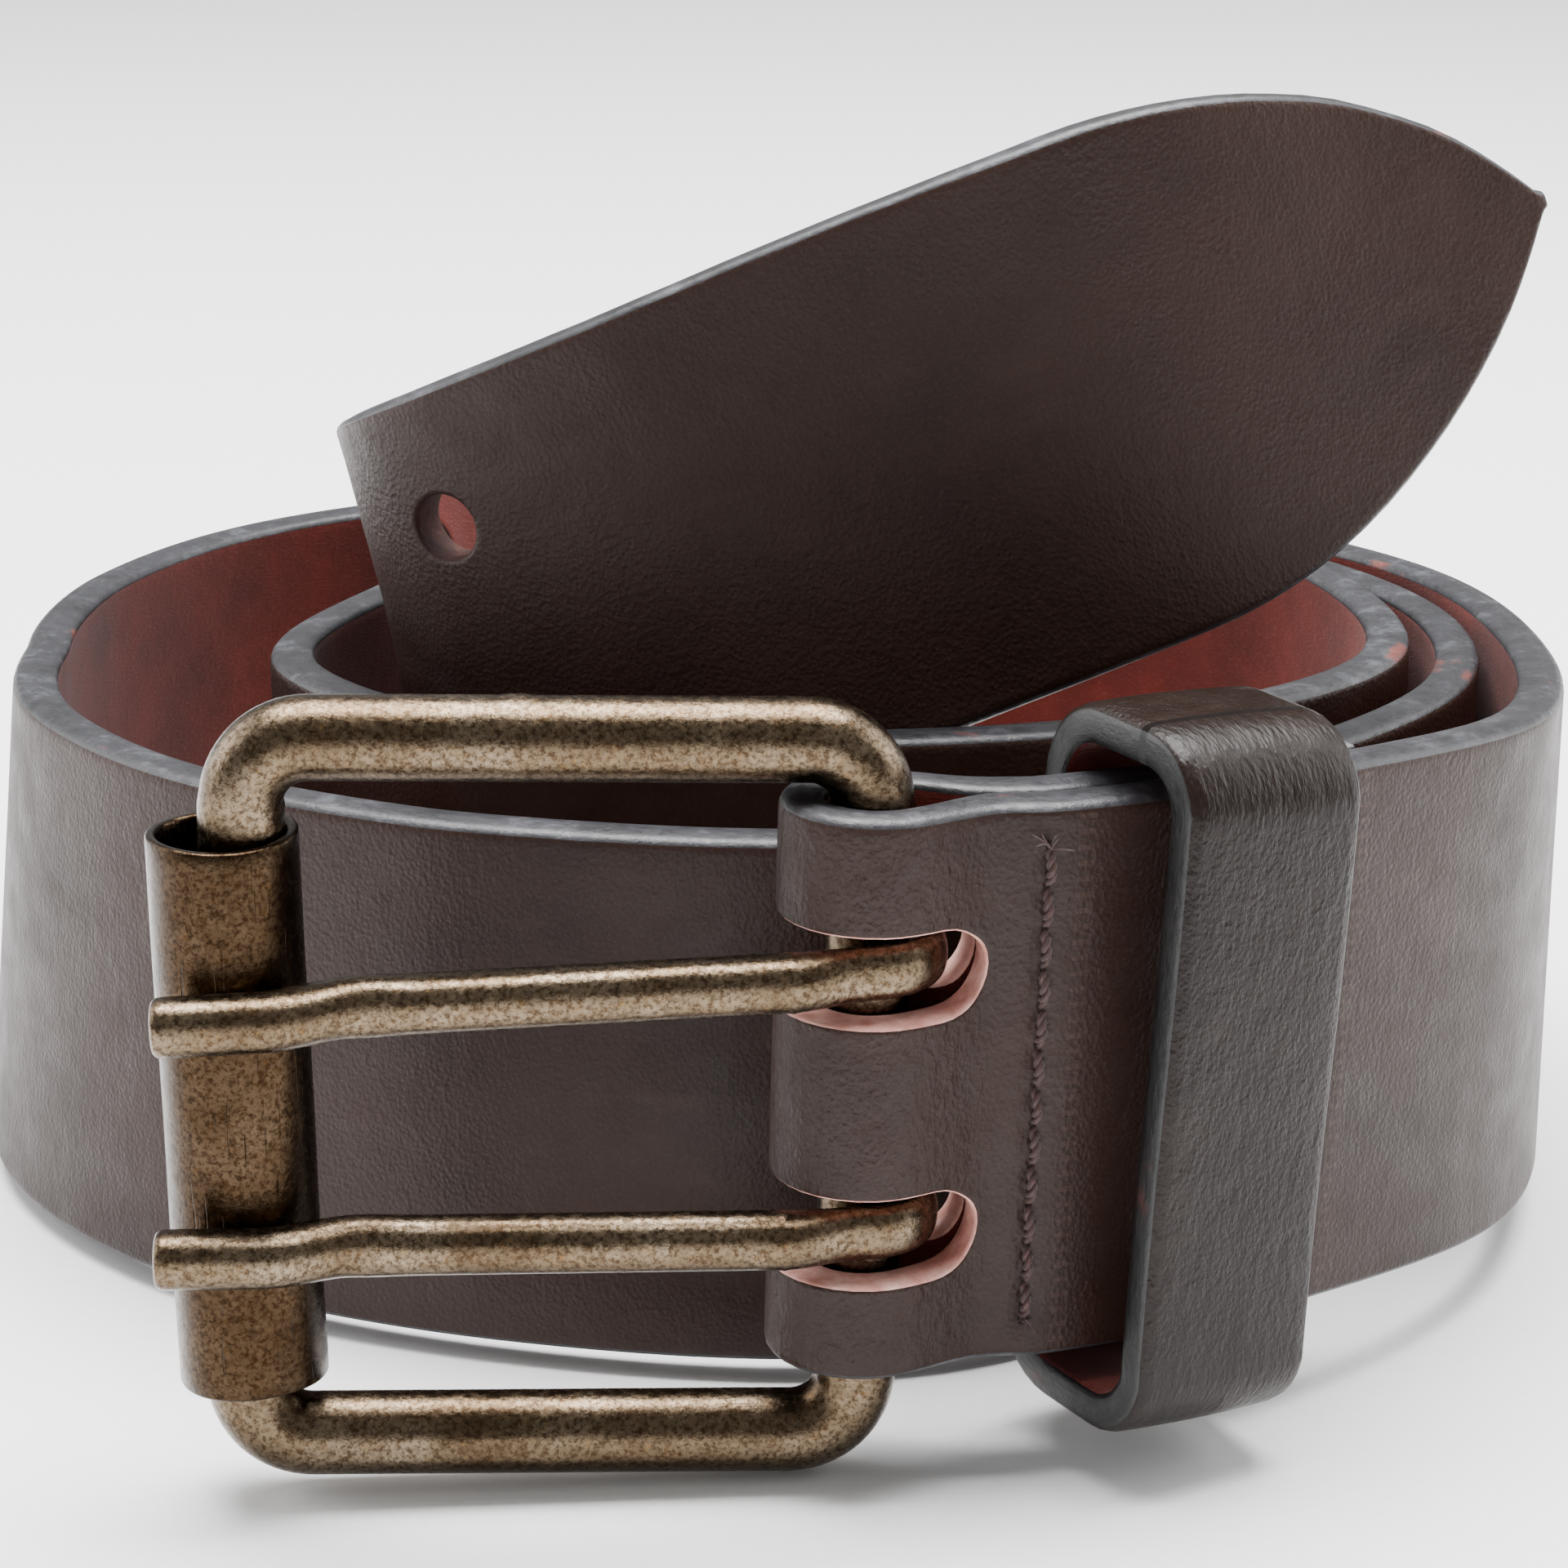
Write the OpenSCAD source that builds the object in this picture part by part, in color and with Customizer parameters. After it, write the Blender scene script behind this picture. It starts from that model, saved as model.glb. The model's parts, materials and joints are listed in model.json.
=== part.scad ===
// Leather belt with a double-prong roller buckle, coiled and standing on its edge.
// Units are millimetres. +X is along the front of the coil towards the tip, +Y is away from
// the buckle's face, +Z is up. The floor is z = 0.
// What each figure drives is said on the line above it.

/* [Strap] */
// Width of the strap
strap_width = 45; // [30:0.5:50]
// Thickness of the strap
strap_thick = 4; // [3:0.1:5]
// Thickness of the strap where it is thinned to go round the bar
fold_thick = 3.4; // [2.5:0.1:4]
// Length along the strap from the sewn stretch's datum to the point of the tip
strap_length = 1086; // [1000:1:1300]
// Length of the pointed end
tip_length = 39; // [20:1:50]
// Number of stations on the folded-back leaf, which ends just past the rear seam
leaf_steps = 5; // [4:1:8]
// Gap left between the two leaves
leaf_gap = 0.2; // [0.1:0.05:0.5]

/* [Holes] */
// Diameter of a prong hole
hole_diameter = 6; // [4:0.5:8]
// Distance between the two rows of holes, and between the two prongs
row_spacing = 21; // [15:0.5:25]
// Distance from the tip to the first pair of holes
hole_first = 93; // [60:1:120]
// Distance between one pair and the next
hole_pitch = 25; // [20:1:30]
// Number of pairs of holes
hole_pairs = 5; // [3:1:7]
// Height of the slots that let the prongs through the fold
slot_height = 7; // [5:0.5:9]
// How far the slots reach to the right of the bar's axis
slot_reach = 8.2; // [7.5:0.1:10]
// How far below the rows of holes the slots sit
slot_drop = 0.7; // [0:0.1:1.5]

/* [Buckle] */
// Diameter of the frame's wire
wire_diameter = 6.5; // [4:0.1:8]
// Distance between the axes of the two upright bars
bar_spacing = 47; // [35:0.5:55]
// Distance between the axes of the top and bottom bars
frame_rise = 56.4; // [50:0.1:62]
// How far the frame hangs below the middle of the strap
frame_drop = 1.5; // [0:0.1:2.3]
// Turn of the buckle about its bar from the line of the strap, degrees
buckle_turn = -6; // [-10:1:10]
// Bend radius of the frame's corners, to the wire's axis
corner_radius = 5; // [4.5:0.1:12]
// Outside diameter of the roller
roller_diameter = 11.5; // [9:0.1:14]
// Bore of the roller
roller_bore = 9.7; // [7:0.1:12]
// Length of the roller
roller_length = 44; // [38:0.5:46]
// How far the roller has dropped from the middle of its bar
roller_drop = 1; // [0:0.1:2]
// How far the roller has moved away from the strap, taken up by its loose bore
roller_shift = 0.5; // [0:0.1:1]
// Lean of the roller on its bar, taken up by its loose bore, degrees
roller_lean = 2.6; // [0:0.1:3.5]
// Width of the open seam along the roller
roller_seam = 0.6; // [0.2:0.1:1.5]
// Diameter of a prong
prong_diameter = 4.5; // [3:0.1:6]
// Length of a prong from the bar's axis to its end
prong_length = 53.4; // [48:0.1:60]
// Radial play of a prong and of the leather on the bar
bar_play = 0.45; // [0.1:0.05:0.6]
// Wall of a prong's hook behind the bar
hook_wall = 2.3; // [1.5:0.1:4]
// How far the prongs have slid down the bar from the rows of holes
prong_drop = 0.5; // [0:0.1:1]
// Slope of the upper prong down towards its end, degrees
upper_slope = 3.4; // [0:0.1:4]
// Slope of the lower prong down towards its end, degrees
lower_slope = 0.6; // [0:0.1:4]
// Distance from the bar's axis to where the prong's step begins
step_start = 38.5; // [34:0.5:42]
// Length of the neck between a prong's rod and its hook
neck_length = 6.5; // [5:0.5:8]
// Height of the neck and hook, along the bar
neck_height = 4; // [3:0.1:5]
// How far round the bar the hook wraps, degrees
hook_wrap = 200; // [180:5:300]

/* [Keeper] */
// Width of the keeper, along the strap
keeper_width = 16; // [10:0.5:20]
// Height of the keeper's outside
keeper_height = 57; // [50:0.5:62]
// Thickness of the keeper's leather
keeper_thick = 3.4; // [2:0.1:4]
// Clear depth kept in front of the strap for its tip to pass
keeper_room = 4.6; // [3:0.1:7]
// Corner radius of the keeper's outside
keeper_corner = 7; // [4:0.5:12]
// Distance along the strap to the middle of the keeper
keeper_at = 21.8; // [15:0.5:30]

/* [Seams] */
// Diameter of the sewing thread
thread_diameter = 0.8; // [0.4:0.1:1.2]
// Length of one stitch
stitch_pitch = 3.2; // [2:0.1:5]
// Number of stitches in a row
stitch_count = 12; // [8:1:16]
// Distance along the strap to the front row
front_seam = 9; // [7:0.5:14]
// Distance along the strap to the rear row
rear_seam = 35; // [32:0.5:38]

/* [Coil] */
// Turn of the sewn stretch about the upright, degrees
buckle_yaw = 10; // [0:1:20]
// Fall of the sewn stretch to the right, degrees
buckle_fall = 1.5; // [0:0.5:4]
// Plan points of the first turn, from the keeper round to the front again
turn_1 = [[31, 12], [52, 36], [59, 68], [54, 102], [32, 128], [-1, 140], [-35, 140],
          [-65, 123], [-80, 92], [-79, 59], [-61, 34], [-30, 20], [3, 18]];
// Plan points of the second turn
turn_2 = [[30, 37], [51, 64], [51, 95], [30, 123], [-4, 134], [-32, 120], [-48, 96],
          [-54, 71], [-36, 50], [-6, 45]];
// Plan points of the third turn, then of the line on which the tip lies
turn_3 = [[25, 52], [47, 74], [41, 104], [12, 124], [-17, 116], [-33, 97], [-40, 79],
          [-36, 65], [-24, 56], [-3, 51], [26, 51], [54, 62], [84, 74], [121, 88]];
// Height of the strap's lower edge at distances along it
edge_height = [[-40, 9.6], [30, 7.8], [80, 2.5], [130, 0.5], [200, 0], [834, 0], [889, 4.5],
               [922, 8], [960, 16], [994, 29.6], [1023, 44.5], [1093, 69], [1163, 88]];
// Outward lean of the strap's upper edge at distances along it, degrees
edge_lean = [[240, 0], [300, -3], [325, -6], [360, -4], [400, 0], [900, 0], [945, 4], [982, 3.5], [1006, 0],
             [1070, -8]];

/* [Hidden] */
// Slope of the coil up from the back, where it stands, to the buckle
coil_slope = 0.0154;
coil_back = 141.8;
// Puts the origin on the floor under the middle of the model
model_shift = [11.2, -64.6, 0];
round_fn = 64;
small_fn = 24;
spline_steps = 6;
station_step = 6;
blend_length = 10;
bar_to_datum = 2.6;
buckle_height = 33.3;
cut_length = 20;
bend_radius = 8;
step_turn = 24;
seat_gap = 0.1;
// How far a prong's rods run into its elbows, and how much fatter the elbows are
rod_lap = 0.1;
elbow_swell = 0.04;
keeper_play = 0.8;
// Stations on the pointed end, as distances from its point in tip lengths
tip_shares = [1, 0.87, 0.74, 0.62, 0.5, 0.38, 0.28, 0.2, 0.13, 0.075, 0.03, 0];
half_width = strap_width / 2;
half_thick = strap_thick / 2;
wire_radius = wire_diameter / 2;
bar_hole = wire_radius + bar_play;
fold_radius = bar_hole + fold_thick / 2;
prong_radius = prong_diameter / 2;
prong_depth = bar_hole + prong_radius - 0.1;
seat_depth = roller_diameter / 2 + prong_radius + seat_gap;
ogive_radius = (tip_length * tip_length + half_width * half_width) / strap_width;

// ---- The coil's centreline ------------------------------------------------------------
yaw_dir = [cos(buckle_yaw), sin(buckle_yaw)];
yaw_out = [sin(buckle_yaw), -cos(buckle_yaw)];
bar_xy = -bar_to_datum * yaw_dir;
sewn_points = [for (d = [-12, 0, 12]) d * yaw_dir + half_thick * yaw_out];
way = concat(sewn_points, turn_1, turn_2, turn_3);
last_way = len(way) - 1;
way_run = concat(way, [2 * way[last_way] - way[last_way - 1]]);

function spline(a, b, c, d, t) =
    0.5 * (2 * b + (c - a) * t + (2 * a - 5 * b + 4 * c - d) * t * t
           + (3 * b - a - 3 * c + d) * t * t * t);
plan = concat(
    [for (i = [1 : last_way - 1]) for (k = [0 : spline_steps - 1])
        spline(way_run[i - 1], way_run[i], way_run[i + 1], way_run[i + 2],
               k / spline_steps)],
    [way[last_way]]);
plan_last = len(plan) - 1;
chord = [for (i = [0 : plan_last - 1]) norm(plan[i + 1] - plan[i])];
dist = [for (i = 0, d = 0; i <= plan_last; d = d + (i < plan_last ? chord[i] : 0), i = i + 1) d];
x_table = [for (i = [0 : plan_last]) [dist[i], plan[i][0]]];
y_table = [for (i = [0 : plan_last]) [dist[i], plan[i][1]]];

function at(s) = [lookup(s, x_table), lookup(s, y_table)];
function mean_at(s) = (at(s - 3) + at(s) + at(s + 3)) / 3;
function unit(v) = v / norm(v);
function along(s) = unit(at(s + 4) - at(s - 4));
function low_edge(s) =
    (lookup(s - 24, edge_height) + lookup(s - 16, edge_height)
     + lookup(s - 8, edge_height) + lookup(s, edge_height) + lookup(s + 8, edge_height)
     + lookup(s + 16, edge_height) + lookup(s + 24, edge_height)) / 7
    + coil_slope * max(0, coil_back - lookup(s, y_table));
function rise(s) = atan((low_edge(s + 2) - low_edge(s - 2)) / 4);

// A frame on the strap: [lower edge point, outward normal, direction of the width]
function frame_at(s) =
    let (h = along(s), b = rise(s), p = lookup(s, edge_lean),
         out = [h[1], -h[0], 0],
         up = [-sin(b) * h[0], -sin(b) * h[1], cos(b)],
         q = s < 6 ? at(s) : mean_at(s))
    [model_shift + [q[0], q[1], low_edge(s) + half_thick * abs(sin(p))],
     cos(p) * out - sin(p) * up,
     cos(p) * up + sin(p) * out];

// ---- Stations: [point on the lower edge, grain-side normal, width direction, thickness,
//      lowest width, highest width] --------------------------------------------------
sewn_up = [sin(buckle_fall) * yaw_dir[0], sin(buckle_fall) * yaw_dir[1],
           cos(buckle_fall)];
sewn_dir = [cos(buckle_fall) * yaw_dir[0], cos(buckle_fall) * yaw_dir[1],
            -sin(buckle_fall)];
sewn_out = [yaw_out[0], yaw_out[1], 0];
bar_point = model_shift + [bar_xy[0], bar_xy[1], buckle_height];
function sewn(u, v) = bar_point + u * sewn_dir + v * sewn_out - half_width * sewn_up;
function ease(t) = t * t * (3 - 2 * t);
function blend(u, a, b) = a + (b - a) * ease(u / blend_length);
function half_tip(u) =
    u >= tip_length ? half_width
    : max(0.8, half_width - ogive_radius
          + sqrt(ogive_radius * ogive_radius - pow(tip_length - u, 2)));

leaf_depth = strap_thick + leaf_gap;
main_start = blend_length - bar_to_datum + 3;
leaf_stations = [for (k = [leaf_steps : -1 : 0])
    let (f = frame_at(main_start + k * station_step))
    [f[0] - leaf_depth * f[1], -f[1], f[2], strap_thick, 0, strap_width]];
back_depth = half_thick + leaf_gap;
back_stations = [for (u = [blend_length : -2 : 2])
    [sewn(u, -blend(u, fold_radius, back_depth)), -sewn_out, sewn_up,
     blend(u, fold_thick, strap_thick), 0, strap_width]];
wrap_stations = [for (a = [-90 : -15 : -270])
    [sewn(fold_radius * cos(a), fold_radius * sin(a)),
     cos(a) * sewn_dir + sin(a) * sewn_out, sewn_up, fold_thick, 0, strap_width]];
front_stations = [for (u = [2 : 2 : blend_length])
    [sewn(u, blend(u, fold_radius, half_thick)), sewn_out, sewn_up,
     blend(u, fold_thick, strap_thick), 0, strap_width]];
main_stations = [for (s = [main_start : station_step : strap_length - tip_length - 2])
    let (f = frame_at(s)) [f[0], f[1], f[2], strap_thick, 0, strap_width]];
tip_stations = [for (k = tip_shares)
    let (u = k * tip_length, f = frame_at(strap_length - u), h = half_tip(u))
    [f[0], f[1], f[2], strap_thick, half_width - h, half_width + h]];
stations = concat(leaf_stations, back_stations, wrap_stations, front_stations,
                  main_stations, tip_stations);

// The strap's skin: a four-cornered ring at each station, joined to the next
function ring(st) =
    let (t = st[3] / 2)
    [for (q = [[st[4], -t], [st[5], -t], [st[5], t], [st[4], t]])
        st[0] + q[0] * st[2] + q[1] * st[1]];
skin_points = [for (st = stations) each ring(st)];
ring_count = len(stations);
skin_faces = concat(
    [[0, 1, 2, 3]],
    [for (i = [0 : ring_count - 2]) for (j = [0 : 3])
        [i * 4 + j, (i + 1) * 4 + j, (i + 1) * 4 + (j + 1) % 4]],
    [for (i = [0 : ring_count - 2]) for (j = [0 : 3])
        [i * 4 + j, (i + 1) * 4 + (j + 1) % 4, i * 4 + (j + 1) % 4]],
    [[for (j = [3 : -1 : 0]) (ring_count - 1) * 4 + j]]);

// ---- Placing helpers ------------------------------------------------------------------
// The buckle's own frame: x along the sewn stretch, y away from its face, z up the bar
module on_bar(turn) {
    translate(bar_point)
        rotate([0, buckle_fall, buckle_yaw])
            rotate([0, 0, turn])
                children();
}

// A frame on the strap with x along it, y away from its face, z up its width
module on_strap(s) {
    f = frame_at(s);
    h = along(s);
    translate(f[0] + half_width * f[2])
        rotate([0, -rise(s), atan2(h[1], h[0])])
            rotate([lookup(s, edge_lean), 0, 0])
                children();
}

module rounded_plate(w, h, r) {
    square([w - 2 * r, h], center = true);
    square([w, h - 2 * r], center = true);
    for (i = [-1, 1]) {
        for (j = [-1, 1]) {
            translate([i * (w / 2 - r), j * (h / 2 - r)])
                circle(r = r, $fn = round_fn);
        }
    }
}

// ---- Sub-parts ------------------------------------------------------------------------
module prong_slots() {
    slot_left = -fold_radius - fold_thick;
    on_bar(0) {
        for (k = [-1, 1]) {
            translate([0, 0, k * row_spacing / 2 - slot_drop])
                rotate([90, 0, 0])
                    translate([0, 0, -cut_length / 2])
                        linear_extrude(height = cut_length)
                            union() {
                                translate([slot_left, -slot_height / 2])
                                    square([slot_reach - slot_height / 2 - slot_left,
                                            slot_height]);
                                translate([slot_reach - slot_height / 2, 0])
                                    circle(d = slot_height, $fn = round_fn);
                            }
        }
    }
}

module prong_holes() {
    for (i = [0 : hole_pairs - 1]) {
        on_strap(strap_length - hole_first - i * hole_pitch) {
            for (k = [-1, 1]) {
                translate([0, 0, k * row_spacing / 2])
                    rotate([90, 0, 0])
                        cylinder(d = hole_diameter, h = strap_thick * 3, center = true,
                                 $fn = round_fn);
            }
        }
    }
}

// One length of leather: the tip, the coil, the fold round the bar and the leaf behind
module strap() {
    color("#3a2723")
        difference() {
            polyhedron(points = skin_points, faces = skin_faces, convexity = 12);
            prong_slots();
            prong_holes();
        }
}

// Bent wire frame; its right-hand bar lies in the strap's fold
module buckle_frame() {
    straight_x = bar_spacing - 2 * corner_radius;
    straight_z = frame_rise - 2 * corner_radius;
    color("#8a7350")
        on_bar(buckle_turn)
            translate([-bar_spacing / 2, 0, -frame_drop]) {
                for (k = [-1, 1]) {
                    translate([k * bar_spacing / 2, 0, 0])
                        cylinder(d = wire_diameter, h = straight_z, center = true,
                                 $fn = round_fn);
                    translate([0, 0, k * frame_rise / 2])
                        rotate([0, 90, 0])
                            cylinder(d = wire_diameter, h = straight_x, center = true,
                                     $fn = round_fn);
                }
                for (q = [[1, 1, 0], [-1, 1, 90], [-1, -1, 180], [1, -1, 270]]) {
                    translate([q[0] * straight_x / 2, 0, q[1] * straight_z / 2])
                        rotate([90, 0, 0])
                            rotate([0, 0, q[2]])
                                rotate_extrude(angle = 90, $fn = round_fn)
                                    translate([corner_radius, 0])
                                        circle(d = wire_diameter, $fn = round_fn);
                }
            }
}

// Rolled sheet tube with an open seam at the back, loose on the left-hand bar
module roller() {
    color("#8a7350")
        on_bar(buckle_turn)
            translate([-bar_spacing - roller_shift, 0, -frame_drop - roller_drop])
                rotate([0, -roller_lean, 0])
                    difference() {
                        cylinder(d = roller_diameter, h = roller_length, center = true,
                                 $fn = round_fn);
                        cylinder(d = roller_bore, h = roller_length + 2, center = true,
                                 $fn = round_fn);
                        rotate([0, 0, 45])
                            translate([roller_diameter / 2, 0, 0])
                                cube([roller_diameter, roller_seam, roller_length + 2],
                                     center = true);
                    }
}

// A round elbow in the XY plane about the origin, from one angle through a sweep
module elbow(from, sweep) {
    rotate([0, 0, from])
        rotate_extrude(angle = sweep, $fn = round_fn)
            translate([bend_radius, 0])
                circle(d = prong_diameter + elbow_swell, $fn = round_fn);
}

// A prong: a hook round the bar, a neck, a rod, and a step that seats it on the roller
module prong() {
    step_side = seat_depth - prong_depth - 2 * bend_radius * (1 - cos(step_turn));
    step_run = step_side / sin(step_turn);
    first_x = -step_start - bend_radius * sin(step_turn);
    first_y = -prong_depth - bend_radius * (1 - cos(step_turn));
    second_x = first_x - step_run * cos(step_turn) - bend_radius * sin(step_turn);
    difference() {
        union() {
            translate([-neck_length, -prong_depth, 0])
                rotate([0, -90, 0])
                    cylinder(d = prong_diameter, h = step_start - neck_length + rod_lap,
                             $fn = round_fn);
            translate([-step_start, -prong_depth - bend_radius, 0])
                elbow(90, step_turn);
            translate([first_x, first_y, 0])
                rotate([0, 0, step_turn])
                    translate([rod_lap, 0, 0])
                        rotate([0, -90, 0])
                            cylinder(d = prong_diameter, h = step_run + 2 * rod_lap,
                                     $fn = round_fn);
            translate([second_x, bend_radius - seat_depth, 0])
                elbow(-90, step_turn);
            translate([second_x + rod_lap, -seat_depth, 0])
                rotate([0, -90, 0])
                    cylinder(d = prong_diameter, h = prong_length + second_x + rod_lap,
                             $fn = round_fn);
            // neck between the rod and the hook
            translate([0, 0, -neck_height / 2])
                linear_extrude(height = neck_height)
                    polygon([[-neck_length - 1, -prong_depth - prong_radius * 0.9],
                             [-neck_length - 1, -bar_hole],
                             [0.5, -bar_hole + 0.5],
                             [0.5, -bar_hole - hook_wall + 0.1]]);
            // hook: an open ring of flattened wire
            rotate([0, 0, -92])
                rotate_extrude(angle = hook_wrap, $fn = round_fn)
                    translate([bar_hole - 0.3, -neck_height / 2])
                        square([hook_wall + 0.3, neck_height]);
        }
        cylinder(r = bar_hole, h = 3 * prong_diameter, center = true, $fn = round_fn);
    }
}

module prong_upper() {
    color("#8a7350")
        on_bar(buckle_turn)
            translate([0, 0, row_spacing / 2 - prong_drop])
                rotate([0, -upper_slope, 0])
                    prong();
}

module prong_lower() {
    color("#8a7350")
        on_bar(buckle_turn)
            translate([0, 0, -row_spacing / 2 - prong_drop])
                rotate([0, -lower_slope, 0])
                    prong();
}

// Closed leather loop round both leaves, with room in front for the tip
module keeper() {
    inner_depth = keeper_room + 2 * strap_thick + leaf_gap + keeper_play;
    outer_depth = inner_depth + 2 * keeper_thick;
    back_face = half_thick + leaf_gap + strap_thick + keeper_play;
    color("#3a2723")
        on_strap(keeper_at)
            translate([0, back_face - inner_depth / 2, 0])
                rotate([90, 0, 90])
                    translate([0, 0, -keeper_width / 2])
                        linear_extrude(height = keeper_width)
                            difference() {
                                rounded_plate(outer_depth, keeper_height,
                                              keeper_corner);
                                rounded_plate(inner_depth,
                                              keeper_height - 2 * keeper_thick,
                                              keeper_corner - keeper_thick);
                            }
}

// One thread of a lockstitch row: surface stitches joined by legs down the needle holes
module thread_row(s, face, side) {
    r = thread_diameter / 2;
    span = stitch_count * stitch_pitch;
    leg = strap_thick + leaf_gap / 2 - 0.05;
    on_strap(s) {
        for (i = [0 : stitch_count]) {
            translate([0, face, i * stitch_pitch - span / 2])
                rotate([side * 90, 0, 0])
                    translate([0, 0, -leg])
                        cylinder(r = r * 0.9, h = leg, $fn = small_fn);
        }
        translate([0, face, 0])
            cylinder(r = r, h = span + thread_diameter, center = true, $fn = small_fn);
    }
}

// The needle threads show on the grain side, the bobbin threads on the inner leaf
module needle_thread_front() {
    color("#5a3526")
        thread_row(front_seam, -half_thick, 1);
}

module bobbin_thread_front() {
    color("#5a3526")
        thread_row(front_seam, half_thick + leaf_gap + strap_thick, -1);
}

module needle_thread_rear() {
    color("#5a3526")
        thread_row(rear_seam, -half_thick, 1);
}

module bobbin_thread_rear() {
    color("#5a3526")
        thread_row(rear_seam, half_thick + leaf_gap + strap_thick, -1);
}

strap();
buckle_frame();
roller();
prong_upper();
prong_lower();
keeper();
needle_thread_front();
bobbin_thread_front();
needle_thread_rear();
bobbin_thread_rear();
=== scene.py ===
"""A coiled leather belt with a double-prong roller buckle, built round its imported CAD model.

Lengths inside the making functions are in millimetres, as a leather worker would state them,
and MM turns them into the frame's metres.
"""
import json
import math
import random

import bpy
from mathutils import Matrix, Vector


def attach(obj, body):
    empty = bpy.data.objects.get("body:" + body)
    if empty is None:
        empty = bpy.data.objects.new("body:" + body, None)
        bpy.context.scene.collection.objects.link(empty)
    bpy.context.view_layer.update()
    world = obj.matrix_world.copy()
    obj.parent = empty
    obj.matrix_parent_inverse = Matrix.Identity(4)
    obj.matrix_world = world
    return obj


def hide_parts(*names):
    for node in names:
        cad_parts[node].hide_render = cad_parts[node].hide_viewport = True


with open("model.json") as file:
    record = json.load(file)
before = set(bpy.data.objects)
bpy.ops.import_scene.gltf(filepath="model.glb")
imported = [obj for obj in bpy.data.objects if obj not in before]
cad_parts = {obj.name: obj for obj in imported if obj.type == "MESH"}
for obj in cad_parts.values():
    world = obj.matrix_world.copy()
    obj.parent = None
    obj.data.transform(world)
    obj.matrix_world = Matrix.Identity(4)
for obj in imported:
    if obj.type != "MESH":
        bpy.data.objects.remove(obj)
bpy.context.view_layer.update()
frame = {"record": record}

MM = 0.001
record = frame["record"]
joints = {j["name"]: j for j in record["behaviour"]["joints"]}

# ---- Driving dimensions, in millimetres and degrees -------------------------------------
STRAP_WIDTH = 45.0
STRAP_THICK = 4.0
FOLD_THICK = 3.4
STRAP_LENGTH = 1086.0
TIP_LENGTH = 39.0
LEAF_GAP = 0.2
LEAF_END = 43.0
HOLE_RADIUS = 3.0
ROW_SPACING = 21.0
HOLE_FIRST = 93.0
HOLE_PITCH = 25.0
HOLE_PAIRS = 5
SLOT_HALF = 3.5
SLOT_REACH = 8.2
WIRE_RADIUS = 3.25
BAR_PLAY = 0.45
BAR_SPACING = 47.0
FRAME_RISE = 56.4
FRAME_DROP = 1.5
BUCKLE_TURN = math.radians(-6)
SLOT_DROP = 0.7
PRONG_DROP = 0.5
CORNER_RADIUS = 5.0
ROLLER_RADIUS = 5.75
ROLLER_BORE = 4.85
ROLLER_LENGTH = 44.0
PRONG_RADIUS = 2.25
PRONG_LENGTH = 53.4
UPPER_SLOPE = math.radians(3.4)
LOWER_SLOPE = math.radians(0.6)
KEEPER_WIDTH = 16.0
KEEPER_HEIGHT = 57.0
KEEPER_THICK = 3.4
KEEPER_DEPTH = 13.6
KEEPER_CORNER = 7.0
KEEPER_AT = 21.8
KEEPER_PLAY = 0.8
STITCH_PITCH = 3.2
STITCH_COUNT = 12
FRONT_SEAM = 9.0
REAR_SEAM = 35.0
BUCKLE_YAW = math.radians(10)
BAR_TO_DATUM = 2.6
BLEND_LENGTH = 10.0

HALF_WIDTH = STRAP_WIDTH / 2
HALF_THICK = STRAP_THICK / 2
BAR_HOLE = WIRE_RADIUS + BAR_PLAY
FOLD_RADIUS = BAR_HOLE + FOLD_THICK / 2
FOLD_ARC = math.pi * FOLD_RADIUS
LEAF_DEPTH = STRAP_THICK + LEAF_GAP

# ---- The coil's route --------------------------------------------------------------------
# The design's own tables. A fitting program gave the numbers first, rounded; 27 of the 37 plan
# points are still its own, and the rest, with some heights and leans, were changed afterwards.
TURN_1 = [(31, 12), (52, 36), (59, 68), (54, 102), (32, 128), (-1, 140), (-35, 140),
          (-65, 123), (-80, 92), (-79, 59), (-61, 34), (-30, 20), (3, 18)]
TURN_2 = [(30, 37), (51, 64), (51, 95), (30, 123), (-4, 134), (-32, 120), (-48, 96),
          (-54, 71), (-36, 50), (-6, 45)]
TURN_3 = [(25, 52), (47, 74), (41, 104), (12, 124), (-17, 116), (-33, 97), (-40, 79),
          (-36, 65), (-24, 56), (-3, 51), (26, 51), (54, 62), (84, 74), (121, 88)]
EDGE_HEIGHT = [(-40, 9.6), (30, 7.8), (80, 2.5), (130, 0.5), (200, 0), (834, 0), (889, 4.5),
               (922, 8), (960, 16), (994, 29.6), (1023, 44.5), (1093, 69), (1163, 88)]
EDGE_LEAN = [(240, 0), (300, -3), (325, -6), (360, -4), (400, 0), (900, 0), (945, 4),
             (982, 3.5), (1006, 0), (1070, -8)]
SPLINE_STEPS = 6
COIL_SLOPE = 0.0154
COIL_BACK = 141.8

# The buckle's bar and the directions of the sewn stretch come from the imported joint
swing = joints["buckle_swing"]
BAR_POINT = Vector(swing["pos_m"]) / MM
BAR_UP = Vector(swing["axis"]).normalized()
SEWN_OUT = Vector((math.sin(BUCKLE_YAW), -math.cos(BUCKLE_YAW), 0))
SEWN_DIR = BAR_UP.cross(SEWN_OUT).normalized()
YAW_DIR = Vector((math.cos(BUCKLE_YAW), math.sin(BUCKLE_YAW), 0))
SHIFT = Vector((BAR_POINT.x, BAR_POINT.y, 0)) + BAR_TO_DATUM * YAW_DIR


def plan_points():
    sewn = [d * YAW_DIR + HALF_THICK * SEWN_OUT for d in (-12, 0, 12)]
    turns = [Vector((x, y, 0)) for x, y in TURN_1 + TURN_2 + TURN_3]
    way = sewn + turns
    return way + [2 * way[-1] - way[-2]]


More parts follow.
